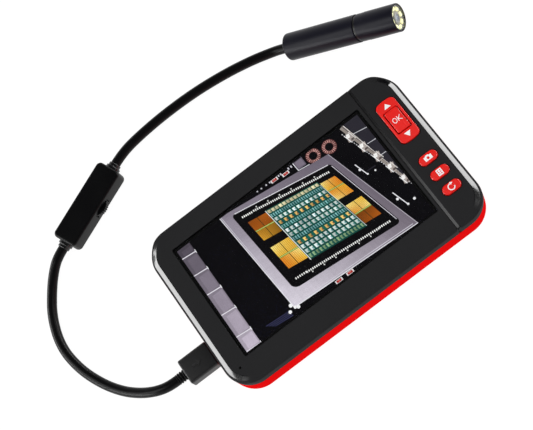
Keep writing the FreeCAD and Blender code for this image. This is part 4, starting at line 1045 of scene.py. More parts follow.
    def build(self, shop: Workshop) -> None:
        """Makes the bezel and marks where it is polished."""
        solid = Solid()
        skin, shine = self.skin()
        solid.grid(skin)
        last = skin[-1]
        flat = np.abs(last[:, 0] - self.groove_x) < 1.45
        upper = np.flatnonzero(flat & (last[:, 1] > 0))
        lower = np.flatnonzero(flat & (last[:, 1] < 0))
        upper, lower = upper[np.argsort(last[upper, 0])], lower[np.argsort(last[lower, 0])]
        share = np.linspace(0, 1, 9)[:, None, None]
        solid.grid(last[lower][None] * (1 - share) + last[upper][None] * share, around=False)

        opening = rounded_rectangle(self.opening[0], self.opening[1], 0.8).shifted(*self.screen)
        pin = circle(self.pinhole_radius, 20).shifted(*self.pinhole)
        keys = self.key_holes()
        left_loop = self.half_plate(last, upper[0], lower[0], left=True)
        right_loop = self.half_plate(last, upper[-1], lower[-1], left=False)
        left_holes = [self.rim(solid, opening, self.window_top), self.rim(solid, pin, self.plate_under)]
        solid.plate(left_loop, left_holes, self.top)
        solid.plate(right_loop, [self.rim(solid, hole, self.plate_under) for hole in keys], self.top)

        step = self.window_overlap + self.window_clearance
        rebate = opening.moved_out(step)
        steps = [self.window_top, self.window_top, self.plate_under]
        solid.grid(stacked([opening.points, rebate, rebate], steps))
        ring = rounded_rectangle(self.length, self.width, self.corner_radius, self.corner_steps)
        inner = ring.moved_out(-self.wall)
        solid.plate(inner, [rebate, pin.points, *[hole.points for hole in keys]], self.plate_under)
        solid.grid(stacked([inner, inner], [self.plate_under, self.parting]))
        solid.plate(skin[0][:, :2], [inner], self.parting)
        piece = solid.make("bezel", sharp_deg=30)
        self.mark_polish(piece, skin, shine)
        shop.add(piece, "screen_unit", Slot.BEZEL, ["front_housing"])

    def half_plate(self, ring: Array, upper: int, lower: int, left: bool) -> Array:
        """The part of the top's rim on one side of the groove strip, as a closed loop."""
        spots = ring[:, :2]
        edge = spots[upper][0]
        keep = spots[:, 0] < edge + 1e-6 if left else spots[:, 0] > edge - 1e-6
        order = np.flatnonzero(keep)
        gaps = np.flatnonzero(np.diff(order) > 1)
        if len(gaps):
            order = np.concatenate((order[gaps[0] + 1:], order[:gaps[0] + 1]))
        share = np.linspace(0, 1, 9)[1:-1, None]
        first, final = spots[order[0]], spots[order[-1]]
        return np.vstack((spots[order], final * (1 - share) + first * share))

    def mark_polish(self, piece: Thing, skin: Array, shine: Array) -> None:
        """Writes how polished each point of the skin is as the attribute that the finish reads."""
        spots = skin.reshape(-1, 3)
        known = {tuple(np.round(spot, 3)): value for spot, value in zip(spots, shine.reshape(-1))}
        count = len(piece.data.vertices)
        where = np.empty(count * 3)
        piece.data.vertices.foreach_get("co", where)
        spots = where.reshape(-1, 3) / MM
        values = np.array([known.get(tuple(np.round(spot, 3)), 0.0) for spot in spots])
        depth = self.top - spots[:, 2]
        cut = (np.abs(spots[:, 0] - self.groove_x) < 1.0) & (depth > 0.01) & (depth < 0.6)
        values[cut] = self.groove_polish
        layer = piece.data.attributes.new("polish", "FLOAT", "POINT")
        layer.data.foreach_set("value", values.astype(np.float32))


# ---------------------------------------------------------------- screen unit: keys

class Mark(Enum):
    """The white marks on the keys."""

    UP = "up"
    DOWN = "down"
    OK = "ok"
    CAMERA = "camera"
    LIST = "list"
    BACK = "back"


@dataclass
class KeyPad:
    """The navigation key, the confirm key inside it and the three round-ended keys."""

    overlap: float = 0.02
    mark_height: float = 0.03
    mark_step: float = 0.2
    mark_depth: float = 0.12
    mark_size: float = 1.12
    white: Colour = srgb(250, 250, 250)
    round_flange: float = 0.75
    round_flange_low: float = 15.8
    round_flange_top: float = 16.4
    round_crown: float = 0.22
    round_edge: float = 0.45
    stem_radius: float = 1.2
    confirm_flange: float = 0.8
    confirm_flange_height: float = 0.5
    confirm_crown: float = 0.30
    confirm_edge: float = 0.4
    confirm_mark_size: float = 0.98
    rocker_under: float = 15.4
    rocker_bow: float = 0.7
    rocker_corner: float = 1.6
    rocker_crown: float = 0.28
    rocker_edge: float = 0.35
    rocker_low_edge: float = 0.05
    rocker_hole: Spot = (7.1, 11.3)
    rocker_hole_corner: float = 0.6
    rocker_lip: float = 0.22
    foot: Spot = (2.4, 2.0)
    foot_from_middle: float = 7.9
    arrow_from_middle: float = 7.75

    def crown(self, middle: Array, size: Array, lift: float) -> Surface:
        """A soft cushion over a key: the lift times one less the square of each share of the way out."""
        def height(spots: Array) -> Array:
            away = np.clip(np.abs((spots[:, :2] - middle[:2]) / (size[:2] / 2)), 0, 1)
            return lift * (1 - away[:, 0] ** 2) * (1 - away[:, 1] ** 2)
        return height

    def marks(self, kind: Mark) -> list[tuple[Array, list[Array]]]:
        """The shapes of one mark about its own middle, with its top at +Y.

        Returns:
            Pairs of an outer loop and the loops of its holes.
        """
        if kind in (Mark.UP, Mark.DOWN):
            way = 1 if kind is Mark.UP else -1
            return [(np.array(((-1.4, -0.9), (1.4, -0.9), (0.0, 1.1))) * (1, way), [])]
        if kind is Mark.OK:
            ring = circle(1.0, 32).points
            return [
                (ring * (0.98, 1.25) - (1.15, 0), [ring * (0.72, 0.98) - (1.15, 0)]),
                (stroke(((0.42, -1.25), (0.42, 1.25)), 0.28), []),
                (stroke(((2.0, 1.22), (0.62, -0.08), (2.05, -1.22)), 0.28), []),
            ]
        if kind is Mark.CAMERA:
            half = ((1.6, -1.0), (1.6, 0.75), (0.85, 0.75), (0.55, 1.15))
            body = np.array((*half, *((-x, y) for x, y in half[::-1])))
            return [(body, [circle(0.55, 20).points - (0, 0.1)])]
        if kind is Mark.LIST:
            page = rounded_rectangle(2.2, 2.7, 0.15, 3).points
            slots = [rounded_rectangle(0.55, 0.36, 0.05, 2).points + (x, y)
                     for y in (0.72, 0.0, -0.72) for x in (-0.45, 0.45)]
            return [(page, slots)]
        angle = np.radians(np.linspace(80, 350, 32))
        ring = np.column_stack((np.cos(angle), np.sin(angle)))
        arrow = np.array(((1.35, 1.25), (0.25, 1.85), (0.25, 0.65)))
        return [(np.vstack((ring * 1.42, (ring * 1.04)[::-1])), []), (arrow, [])]

    def ink(self, kind: Mark, middle: Array, size: float, surface: Surface) -> Solid:
        """One mark, inlaid in a key's top surface: a flat net raised to the surface, and its walls."""
        solid = Solid()
        for outer, holes in self.marks(kind):
            loops = [refined(loop * size + middle[:2], self.mark_step) for loop in (outer, *holes)]
            net = Solid()
            net.plate(loops[0], loops[1:], 0.0, self.mark_step)
            flat = np.vstack(net.points)
            for lift in (self.mark_height, -self.mark_depth):
                solid.add(level(flat[:, :2], surface(flat) + lift), net.faces)
            for loop in loops:
                height = surface(loop)
                solid.grid(stacked([loop, loop], [height - self.mark_depth, height + self.mark_height]))
        return solid

    def printed(self, shop: Workshop, key: str, body: str, kind: Mark, middle: Array, size: float,
                surface: Surface) -> None:
        """Adds one white mark to a key."""
        piece = self.ink(kind, middle, size, surface).make(f"{key}_mark_{kind.value}")
        white = shop.special("white_ink", Plastic(self.white, roughness=0.35, grain_depth=1e-6, drift=0.03))
        shop.add(piece, body, Slot.KEYS, material=white)

    def round_key(self, shop: Workshop, node: str, body: str, kind: Mark) -> None:
        """One round-ended key with its flange, stem and mark."""
        low, high = span(node)
        middle, size = (low + high) / 2, high - low
        cap_size = size - 2 * self.round_flange
        lift = self.crown(middle, cap_size, self.round_crown)
        top = high[2] - self.round_crown
        cap = stadium(*cap_size[:2]).shifted(*middle[:2])
        skirt = stadium(*size[:2]).shifted(*middle[:2])
        stem = circle(self.stem_radius, 24).shifted(*middle[:2])
        solid = pillar(cap, self.round_flange_top - self.overlap, top, self.round_edge, lift)
        solid.join(pillar(skirt, self.round_flange_low, self.round_flange_top, 0.08))
        solid.join(pillar(stem, low[2], self.round_flange_low + self.overlap, 0.05))
        shop.add(solid.make(f"{node}_cap", sharp_deg=50), body, Slot.KEYS, [node])
        self.printed(shop, node, body, kind, middle, self.mark_size, lambda spots: top + lift(spots))

    def confirm_key(self, shop: Workshop) -> None:
        """The raised key in the middle of the navigation key."""
        node, body = "ok_button", "ok_key"
        low, high = span(node)
        middle, size = (low + high) / 2, high - low
        cap_size = size - 2 * self.confirm_flange
        lift = self.crown(middle, cap_size, self.confirm_crown)
        top = high[2] - self.confirm_crown
        flange_top = low[2] + self.confirm_flange_height
        cap = rounded_rectangle(cap_size[0], cap_size[1], 0.75).shifted(*middle[:2])
        skirt = rounded_rectangle(size[0], size[1], 0.9).shifted(*middle[:2])
        solid = pillar(cap, flange_top - self.overlap, top, self.confirm_edge, lift)
        solid.join(pillar(skirt, low[2], flange_top, 0.06))
        shop.add(solid.make("confirm_key_cap", sharp_deg=50), body, Slot.KEYS, [node])
        self.printed(shop, node, body, Mark.OK, middle, self.confirm_mark_size,
                     lambda spots: top + lift(spots))

    def navigation_key(self, shop: Workshop) -> None:
        """The tall rocking key, holed for the confirm key, with its two arrows."""
        node, body = "nav_rocker", "rocker_key"
        low, high = span(node)
        middle, size = (low + high) / 2, high - low
        under, bow = self.rocker_under, self.rocker_bow
        outer = bowed_rectangle(size[0], size[1] - 2 * bow, bow, self.rocker_corner).shifted(*middle[:2])
        hole = rounded_rectangle(*self.rocker_hole, self.rocker_hole_corner).shifted(*middle[:2])
        lift = self.crown(middle, size, self.rocker_crown)
        top = high[2] - self.rocker_crown
        foot_level = outer.moved_out(-self.rocker_low_edge)
        side = [level(foot_level, under), level(outer.points, under + self.rocker_low_edge),
                *rounded_rows(outer, top, self.rocker_edge, lift, 6)]
        rim = [level(hole.points, under)]
        for angle in np.linspace(0, QUARTER_TURN, 6):
            loop = hole.moved_out(self.rocker_lip * (1 - math.cos(angle)))
            rim.append(level(loop, top - self.rocker_lip * (1 - math.sin(angle)) + lift(loop)))
        solid = Solid()
        solid.grid(np.stack(side))
        solid.grid(np.stack(rim))
        self.crowned_ring(solid, side[-1][:, :2], rim[-1][:, :2], lambda spots: top + lift(spots))
        solid.plate(foot_level, [hole.points], under)
        for way in (-1, 1):
            foot = rounded_rectangle(*self.foot, 0.15, 3)
            foot = foot.shifted(middle[0], middle[1] + way * self.foot_from_middle)
            solid.join(pillar(foot, low[2], under + self.overlap, 0.02))
        shop.add(solid.make("navigation_key", sharp_deg=42), body, Slot.KEYS, [node])
        for kind, way in ((Mark.UP, 1), (Mark.DOWN, -1)):
            spot = middle + np.array((0, way * self.arrow_from_middle, 0))
            self.printed(shop, node, body, kind, spot, self.mark_size, lambda spots: top + lift(spots))

    def crowned_ring(self, solid: Solid, outer: Array, inner: Array, surface: Surface) -> None:
        """Fills between a key's rim and its hole with a fine net that follows the cushion."""
        net = Solid()
        reach = self.reach(outer, inner, inner.mean(axis=0))
        loops = [inner, *(inner + share * reach for share in (0.25, 0.5, 0.75)), outer]
        for first, second in zip(loops[:-1], loops[1:]):
            net.plate(second, [first], 0.0)
        points = np.vstack(net.points)
        points[:, 2] = surface(points)
        solid.add(points, net.faces)

    def reach(self, outer: Array, inner: Array, centre: Array) -> Array:
        """From each inner point straight out from the middle, how far the outer line lies."""
        away = inner - centre
        angle = np.arctan2(away[:, 1], away[:, 0])
        rim = outer - centre
        rim_angle = np.arctan2(rim[:, 1], rim[:, 0])
        order = np.argsort(rim_angle)
        far = np.interp(angle, rim_angle[order], np.linalg.norm(rim, axis=1)[order], period=FULL_TURN)
        near = np.linalg.norm(away, axis=1)
        return away / near[:, None] * (far - near)[:, None]

    def build(self, shop: Workshop) -> None:
        """Makes every key."""
        self.navigation_key(shop)
        self.confirm_key(shop)
        self.round_key(shop, "photo_button", "photo_key", Mark.CAMERA)
        self.round_key(shop, "menu_button", "menu_key", Mark.LIST)
        self.round_key(shop, "back_button", "back_key", Mark.BACK)


# ---------------------------------------------------------------- probe lead

@dataclass
class Plug:
    """The plug's grip, a rounded box along X with a raised arrow, and its ribbed neck."""

    grip_corner: float = 1.4
    end_round: float = 0.7
    arrow_size: float = 2.6
    arrow_height: float = 0.18
    arrow_root: float = 0.1
    neck_radius: float = 2.45
    neck_waist: float = 2.1
    neck_ribs: int = 3
    neck_pitch: float = 1.2

    def build(self, shop: Workshop) -> None:
        """Makes the grip, its arrow and the neck."""
        low, high = span("plug_grip")
        middle, size = (low + high) / 2, high - low
        block = rounded_rectangle(size[1], size[2], self.grip_corner, 10)
        turn = np.linspace(0, QUARTER_TURN, 7)
        rows = []
        for end, way, angles in ((low[0], 1, turn), (high[0], -1, turn[::-1])):
            for angle in angles:
                loop = block.moved_out(-self.end_round * (1 - math.sin(angle)))
                rows.append((end + way * self.end_round * (1 - math.cos(angle)), loop))
        grid = np.stack([np.roll(level(loop + middle[1:], x), 1, axis=1) for x, loop in rows])
        solid = Solid()
        solid.grid(grid)
        ring = list(range(len(block.points)))
        solid.add(grid[0], [ring])
        solid.add(grid[-1], [ring])
        grip = shop.add(solid.make("plug_grip_moulding"), "probe", Slot.GRIP, ["plug_grip"])

        arrow = Solid()
        tip = self.arrow_size
        head = np.array(((0.55, 0), (-0.1, 0.62), (-0.1, -0.62))) * tip + middle[:2]
        tail = rounded_rectangle(0.9 * tip, 0.42 * tip, 0.12, 3).shifted(middle[0] - 0.52 * tip, middle[1])
        for loop in (head, tail.points):
            prism(arrow, loop, high[2] - self.arrow_root, high[2] + self.arrow_height)
        shop.add(arrow.make("plug_arrow"), "probe", Slot.GRIP, material=grip.data.materials[0])

        neck_low, neck_high = span("plug_neck")
        profile = self.neck_profile(neck_high[0] - neck_low[0])
        neck = turned(profile, 64)
        place = Matrix.Translation((neck_low[0], middle[1], middle[2]))
        shop.add(neck.make("plug_neck_ribs", place, 50), "probe", Slot.CABLE, ["plug_neck"])

    def neck_profile(self, length: float) -> Array:
        """The neck's line: ribs as half waves between the thick and the thin radius."""
        x = np.linspace(0.25, length, 60)
        wave = 0.5 + 0.5 * np.cos(FULL_TURN * (x - 0.6) / self.neck_pitch)
        ribbed = smooth_step(x, 0.2, 0.5) * (1 - smooth_step(x, self.neck_ribs * self.neck_pitch, length))
        thin = self.neck_radius - (self.neck_radius - self.neck_waist) * smooth_step(wave, 0.1, 0.9) * ribbed
        line = np.column_stack((x, thin))
        return np.vstack(((0.0, 0.0), (0.0, self.neck_radius - 0.25), line, (length, 0.0)))


@dataclass
class Dimmer:
    """The in-line dimmer's stepped cable bushes; its box and wheel are the model's own."""

    middle: tuple[float, float, float] = (-73.6, 75.5, 4.5)
    turn_deg: float = 23.1
    half_length: float = 19.25
    step_radius: float = 3.3
    step_length: float = 1.2
    neck_radius: float = 2.75
    neck_length: float = 1.5
    root: float = 0.6

    def build(self, shop: Workshop) -> None:
        """Makes both bushes."""
        step, end = self.step_length, self.step_length + self.neck_length
        corners = ((-self.root, 0.0), (-self.root, self.step_radius), (step, self.step_radius),
                   (step, self.neck_radius), (end, self.neck_radius), (end, 0.0))
        profile = softened(corners, (0.05, 0.4, 0.12, 0.4), 5)
        rubber = shop.special("bush_black", Plastic(srgb(16, 16, 17), roughness=0.2, gloss=0.5, marks=0.06))
        for node, side in (("dimmer_outlet_bush", 1), ("dimmer_inlet_bush", -1)):
            face = 0.0 if side > 0 else 180.0
            heading = Matrix.Rotation(math.radians(self.turn_deg + face), 4, "Z")
            place = Matrix.Translation(self.middle) @ heading @ Matrix.Translation((self.half_length, 0, 0))
            piece = turned(profile, 64).make(f"{node}_moulding", place, 45)
            shop.add(piece, "probe", Slot.DIMMER, [node], material=rubber)


@dataclass
class CameraHead:
    """The slim head: barrel, seal, front sleeve, ring of lights, lens and glass."""

    rear: tuple[float, float, float] = (39.3, 77.5, 5.111)
    turn_deg: float = -35.0
    tilt_deg: float = 21.0
    radius: float = 6.1
    heel: float = 2.0
    edge: float = 0.22
    barrel: float = 35.6
    seal: float = 1.1
    seal_depth: float = 0.5
    sleeve_end: float = 55.3
    collar: float = 3.6
    collar_step: float = 0.1
    bore: float = 5.4
    glass_front: float = 55.05
    glass_depth: float = 0.8
    light_front: float = 53.55
    light_ring: float = 4.05
    light_size: Spot = (1.5, 1.95)
    light_height: float = 0.55
    lights: int = 8
    board_thickness: float = 0.8
    recess: float = 0.6
    wall_radius: float = 5.2
    lens_length: float = 6.0
    lens_radius: float = 2.3
    dome_radius: float = 1.45

    @property
    def place(self) -> Matrix:
        """The head's own frame: X along its axis from the rear face."""
        turn = Matrix.Rotation(math.radians(self.turn_deg), 4, "Z")
        lean = Matrix.Rotation(-math.radians(self.tilt_deg), 4, "Y")
        return Matrix.Translation(self.rear) @ turn @ lean

    def part(self, shop: Workshop, name: str, corners: Sequence[Spot], radii: Sequence[float], slot: Slot,
             node: str) -> None:
        """Adds a turned piece from the corners of its half section, with each inner corner rounded."""
        piece = turned(softened(corners, radii, 6), 128).make(name, self.place, 40.0)
        shop.add(piece, "probe", slot, [node])

    def tube(self, shop: Workshop) -> None:
        """Barrel, seal, sleeve and cable gland."""
        r, end = self.radius, self.barrel
        start = end + self.seal
        barrel = ((self.recess, 4.5), (0.0, 4.5), (0.0, r), (end, r), (end, self.wall_radius),
                  (end - 2, self.wall_radius), (end - 2, 4.5), (self.recess, 4.5))
        self.part(shop, "head_barrel_shell", barrel, (0.05, self.heel, self.edge, 0.02, 0.02, 0.02),
                  Slot.HEAD, "head_barrel")
        low = r - self.seal_depth
        seal = ((end, 4.6), (end, low), (start, low), (start, 4.6), (end, 4.6))
        self.part(shop, "head_seal_ring", seal, (0.3, 0.3, 0.02), Slot.SEAL, "head_seal")
        under = r - self.collar_step
        step = start + self.collar
        sleeve = ((start, self.wall_radius), (start, under), (step, under), (step, r), (self.sleeve_end, r),
                  (self.sleeve_end, self.bore), (start, self.bore), (start, self.wall_radius))
        self.part(shop, "head_sleeve_shell", sleeve, (self.edge, 0.04, 0.06, 0.3, 0.1, 0.02), Slot.HEAD,
                  "head_sleeve")
        gland = ((0.7, 0.0), (0.7, 4.4), (-0.1, 3.6), (-2.0, 2.5), (-2.0, 0.0))
        self.part(shop, "head_cable_gland", gland, (0.1, 0.6, 0.2), Slot.CABLE, "head_gland")

    def lamps(self) -> Solid:
        """The lit windows, evenly round the axis, each with its own rounded front."""
        chips = Solid()
        front = self.light_front
        for i in range(self.lights):
            window = pillar(rounded_rectangle(*self.light_size, 0.3, 4), front, front + self.light_height,
                            0.16, low_edge=0.02)
            spots = np.vstack(window.points)
            angle = FULL_TURN * i / self.lights
            c, s = math.cos(angle), math.sin(angle)
            across = spots[:, 0] + self.light_ring
            turned_spots = (spots[:, 2], across * c - spots[:, 1] * s, across * s + spots[:, 1] * c)
            chips.add(np.column_stack(turned_spots), window.faces)
        return chips

    def face(self, shop: Workshop) -> None:
        """What shows through the front: light board, lit chips, lens rings and the glass dome."""
        front, back = self.light_front, self.light_front - self.board_thickness
        board = ((back, 2.2), (back, 5.25), (front, 5.25), (front, 2.2), (back, 2.2))
        self.part(shop, "light_ring_board", board, (0.05, 0.05, 0.05), Slot.LIGHT_BOARD, "light_board")
        shop.add(self.lamps().make("light_windows", self.place), "probe", Slot.LIGHTS, ["light_chips"])

        glass_back = self.glass_front - self.glass_depth
        front = glass_back - 0.1
        lens = ((front - self.lens_length, 0.0), (front - self.lens_length, self.lens_radius),
                (front, self.lens_radius), (front, 1.72), (front - 0.35, 1.5), (front - 0.35, 0.0))
        self.part(shop, "lens_housing", lens, (0.1, 0.15, 0.08, 0.05), Slot.LENS, "lens_barrel")
        arc = np.linspace(0, 1, 14)
        radius = self.dome_radius
        dome = np.column_stack((front - 0.33 + 0.55 * (1 - arc ** 2), radius * arc))
        dome = np.vstack((dome, (front - 0.5, radius), (front - 0.5, 0.0)))
        coated = Plastic(srgb(70, 92, 122), roughness=0.06, gloss=0.6, grain_depth=1e-7, marks=0.02,
                         coat=0.6)
        blue = shop.special("lens_blue", coated)
        shop.add(turned(dome, 64).make("lens_dome", self.place), "probe", Slot.LENS, material=blue)
        glass = ((glass_back, 0.0), (glass_back, self.bore), (self.glass_front, self.bore),
                 (self.glass_front, 0.0))
        self.part(shop, "face_glass", glass, (0.04, 0.04), Slot.WINDOW, "lens_window")

    def build(self, shop: Workshop) -> None:
        """Makes the whole head."""
        self.tube(shop)
        self.face(shop)


@dataclass
class Cable:
    """The black cable: one length from the plug to the dimmer and one on to the head."""

    diameter: float = CABLE_DIAMETER

    def run(self, name: str, route: Sequence[tuple[float, float, float]]) -> Thing:
        """A round cord whose curve follows the route's points.

        Args:
            name: The piece's name.
            route: The points that pull the curve, ends included.

        Returns:
            The cord as a curve object.
        """
        data = bpy.data.curves.new(name, "CURVE")
        data.dimensions = "3D"
        data.bevel_depth = self.diameter / 2
        data.bevel_resolution = 8
        data.resolution_u = 16
        data.use_fill_caps = True
        line = data.splines.new("NURBS")
        line.points.add(len(route) - 1)
        for point, spot in zip(line.points, route):
            point.co = (*spot, 1.0)
        line.order_u = 3
        line.use_endpoint_u = True
        cord = bpy.data.objects.new(name, data)
        bpy.context.scene.collection.objects.link(cord)
        return cord

    def build(self, shop: Workshop) -> None:
        """Makes both lengths, each along its route."""
        lower = self.run("cable_to_dimmer", LOWER_ROUTE)
        upper = self.run("cable_to_head", UPPER_ROUTE)
        shop.add(lower, "probe", Slot.CABLE, ["probe_cable_lower"])
        shop.add(upper, "probe", Slot.CABLE, ["probe_cable_upper"])


# ---------------------------------------------------------------- the picture on the display

@dataclass(frozen=True)
class Quad:
    """A square patch of the picture seen at an angle, by its corners anticlockwise from low left."""

    corners: tuple[Spot, ...]

    def place(self, points: Array) -> Array:
        """Screen places of points whose shares along the patch run from 0 to 1.

        The eight numbers of the projective map are solved from the four corners.
        """
        rows, sides = [], []
        for (a, b), (x, y) in zip(((0, 0), (1, 0), (1, 1), (0, 1)), self.corners):
            rows.append((a, b, 1, 0, 0, 0, -a * x, -b * x))
            rows.append((0, 0, 0, a, b, 1, -a * y, -b * y))
            sides += [x, y]
        matrix = np.append(np.linalg.solve(np.array(rows, float), np.array(sides)), 1).reshape(3, 3)
        spots = np.column_stack((points, np.ones(len(points)))) @ matrix.T
        return spots[:, :2] / spots[:, 2:]


class Row(Enum):
    """The kinds of row on the die: how many windows, how wide each is, and its two colours."""

    CREAM = (14, 0.78, (236, 228, 184), (196, 186, 140))
    SMALL = (24, 0.56, (128, 184, 184), (44, 104, 104))
    WHITE = (12, 0.62, (222, 238, 232), (116, 166, 170))
    GOLD = (10, 0.46, (240, 198, 112), (150, 92, 62))
    GREEN = (16, 0.62, (142, 178, 132), (70, 118, 88))


@dataclass
class Picture:
    """The lit picture of a circuit board, built up from thin coloured plates.

    Places on the screen are in millimetres from its middle.
    """

    half_length: float = 47.52
    half_width: float = 26.93
    base: float = 16.42
    layer: float = 0.012
    thickness: float = 0.010
    lid: Quad = Quad(((-21.3, -24.0), (39.7, -27.0), (27.9, 20.6), (-24.9, 27.5)))
    field: Quad = Quad(((-16.8, -17.7), (34.7, -22.3), (26.2, 16.8), (-20.1, 25.2)))
    chip: Quad = Quad(((-3.8, -11.5), (22.2, -14.6), (16.9, 13.5), (-7.1, 17.3)))
    rows: tuple[Row, ...] = (Row.GREEN, Row.WHITE, Row.WHITE, Row.GOLD, Row.SMALL, Row.WHITE, Row.WHITE,
                             Row.SMALL, Row.GOLD, Row.WHITE, Row.SMALL, Row.CREAM)
    seed: int = 7

    def __post_init__(self) -> None:
        low, high = span("screen_window")
        self.middle = ((low + high) / 2)[:2]
        self.solid = Solid()
        self.tints: list[tuple[int, Colour]] = []
        self.chance = np.random.default_rng(self.seed)

    def paint(self, loop: Array, level: int, tone: Sequence[float]) -> None:
        """Adds one flat plate, kept inside the lit area, of one colour from 0 to 255."""
        edge = np.array((self.half_length, self.half_width))
        spots = np.clip(np.asarray(loop, float), -edge, edge) + self.middle
        low = self.base + level * self.layer
        self.tints.append((2 * len(spots), srgb(*np.clip(tone, 0, 255))))
        prism(self.solid, spots, low, low + self.thickness)

    def box(self, x: Spot, y: Spot, level: int, tone: Sequence[float]) -> None:
        """Adds one upright rectangle on the screen."""
        self.paint(np.array(((x[0], y[0]), (x[1], y[0]), (x[1], y[1]), (x[0], y[1]))), level, tone)

    def patch(self, quad: Quad, a: Spot, b: Spot, level: int,
              tone: Sequence[float]) -> None:
        """Adds one rectangle of a patch, between two shares each way."""
        corners = np.array(((a[0], b[0]), (a[1], b[0]), (a[1], b[1]), (a[0], b[1])))
        self.paint(quad.place(corners), level, tone)

    def shaded(self, quad: Quad, level: int, tones: Sequence[Sequence[float]], steps: int,
               rise: Spot = (0.0, 1.0)) -> None:
        """Covers a patch, between two shares of its height, with cells shaded between its corners."""
        low_left, low_right, high_right, high_left = (np.array(tone, float) for tone in tones)
        edges = np.linspace(0, 1, steps + 1)
        levels = rise[0] + (rise[1] - rise[0]) * edges
        for i, j in np.ndindex(steps, steps):
            u, v = (i + 0.5) / steps, (j + 0.5) / steps
            low = low_left * (1 - u) + low_right * u
            high = high_left * (1 - u) + high_right * u
            tone = low * (1 - v) + high * v
            self.patch(quad, (edges[i], edges[i + 1]), (levels[j], levels[j + 1]), level, tone)

    def line(self, start: Spot, end: Spot, width: float, level: int,
             tone: Sequence[float]) -> None:
        """Adds one straight stroke."""
        self.paint(stroke((start, end), width), level, tone)

    def spot(self, x: float, y: float, radius: float, level: int, tone: Sequence[float]) -> None:
        """Adds one small round spot."""
        self.paint(circle(radius, 18).points + (x, y), level, tone)

    def backdrop(self) -> None:
        """The black board with a fine dark-blue grain, closer together low on the left."""
        w, h = self.half_length, self.half_width
        self.box((-w, w), (-h, h), 0, (6, 5, 9))
        for _ in range(900):
            x, y = self.chance.uniform(-40, -24), self.chance.uniform(-h, h)
            if self.chance.random() < (h - y) / (2.2 * h):
                glow = self.chance.uniform(0.5, 1.3)
                self.box((x, x + 0.22), (y, y + 0.22), 1, np.array((22, 24, 46)) * glow)
        for _ in range(160):
            x, y = self.chance.uniform(28, w), self.chance.uniform(-h, 10)
            self.box((x, x + 0.3), (y, y + 0.2), 1, np.array((26, 24, 36)) * self.chance.uniform(0.6, 1.3))

    def left_plates(self) -> None:
        """The row of metal plates down the left side, lighter towards the bottom."""
        w = self.half_length
        edges = (26.9, 22.3, 13.1, 2.9, -8.0, -19.4, -26.9)
        for i, (high, low) in enumerate(zip(edges[:-1], edges[1:])):
            share = i / 5
            right = -41.0 + 0.5 * share
            tone = np.array((84, 77, 88)) + np.array((106, 102, 106)) * share
            self.box((-w, right), (low, high), 2, tone * 0.93)
            self.box((-w + 1.4, right - 0.5), (low + 0.6, high - 1.4), 3, tone * 1.05)
            slope = 0.35
            self.line((-w, low + slope), (right + 0.2, low - slope), 0.45, 4, (232, 228, 236))
            self.line((right + 0.1, low + 0.6), (right + 0.1, low - 1.1), 0.3, 5, (240, 240, 244))

    def right_rail(self) -> None:
        """The beige rail up the right side, its sockets, and the dark panels behind it."""
        self.paint(np.array(((40.4, 26.9), (47.5, 26.9), (47.5, -9.0), (46.8, -9.0))), 2, (44, 42, 50))
        for start, end in (
            ((41.0, 21.1), (47.5, 19.8)), ((43.4, 13.7), (47.5, 13.3)), ((44.9, 6.2), (47.5, 6.0)),
        ):
            self.line(start, end, 0.28, 3, (214, 214, 220))
        self.line((39.0, 26.6), (47.6, -10.0), 2.0, 4, (150, 141, 134))
        self.line((39.5, 26.6), (48.1, -10.0), 0.5, 5, (96, 88, 86))
        self.line((40.0, 26.6), (48.6, -10.0), 0.36, 5, (232, 226, 220))
        for i in range(34):
            x, y = 37.4 + 10.0 * i / 33, 24.0 - 35.4 * i / 33
            self.line((x, y), (x + 0.14, y - 0.5), 0.3, 4, (226, 226, 230))
        for x, y in ((39.4, 20.7), (41.4, 13.6), (43.5, 6.5), (45.3, -1.0), (46.9, -8.4)):
            socket = rounded_rectangle(2.6, 4.2, 0.3, 4).turned(-13).points
            self.paint(socket + (x, y), 6, (178, 168, 162))
            self.paint(socket * (0.62, 0.42) + (x - 0.5, y + 0.9), 7, (250, 248, 244))
            self.paint(socket * (0.5, 0.22) + (x + 0.4, y - 1.3), 7, (92, 82, 80))
            self.line((x - 1.7, y + 1.9), (x - 0.7, y - 2.2), 0.34, 8, (248, 248, 248))
            self.line((x + 0.7, y + 2.3), (x + 1.7, y - 1.8), 0.3, 8, (232, 228, 224))

    def coils(self) -> None:
        """Two wound rings at the top."""
        for x, y in ((22.5, 24.1), (30.1, 23.0)):
            self.spot(x, y, 3.35, 2, (96, 56, 56))
            for i in range(20):
                angle = FULL_TURN * i / 20
                c, s = math.cos(angle), math.sin(angle)
                tone = np.array((214, 160, 152)) * self.chance.uniform(0.7, 1.1)
                self.line((x + 1.9 * c, y + 1.9 * s), (x + 3.05 * c, y + 3.05 * s), 0.34, 3, tone)
            self.spot(x, y, 1.75, 4, (8, 6, 10))

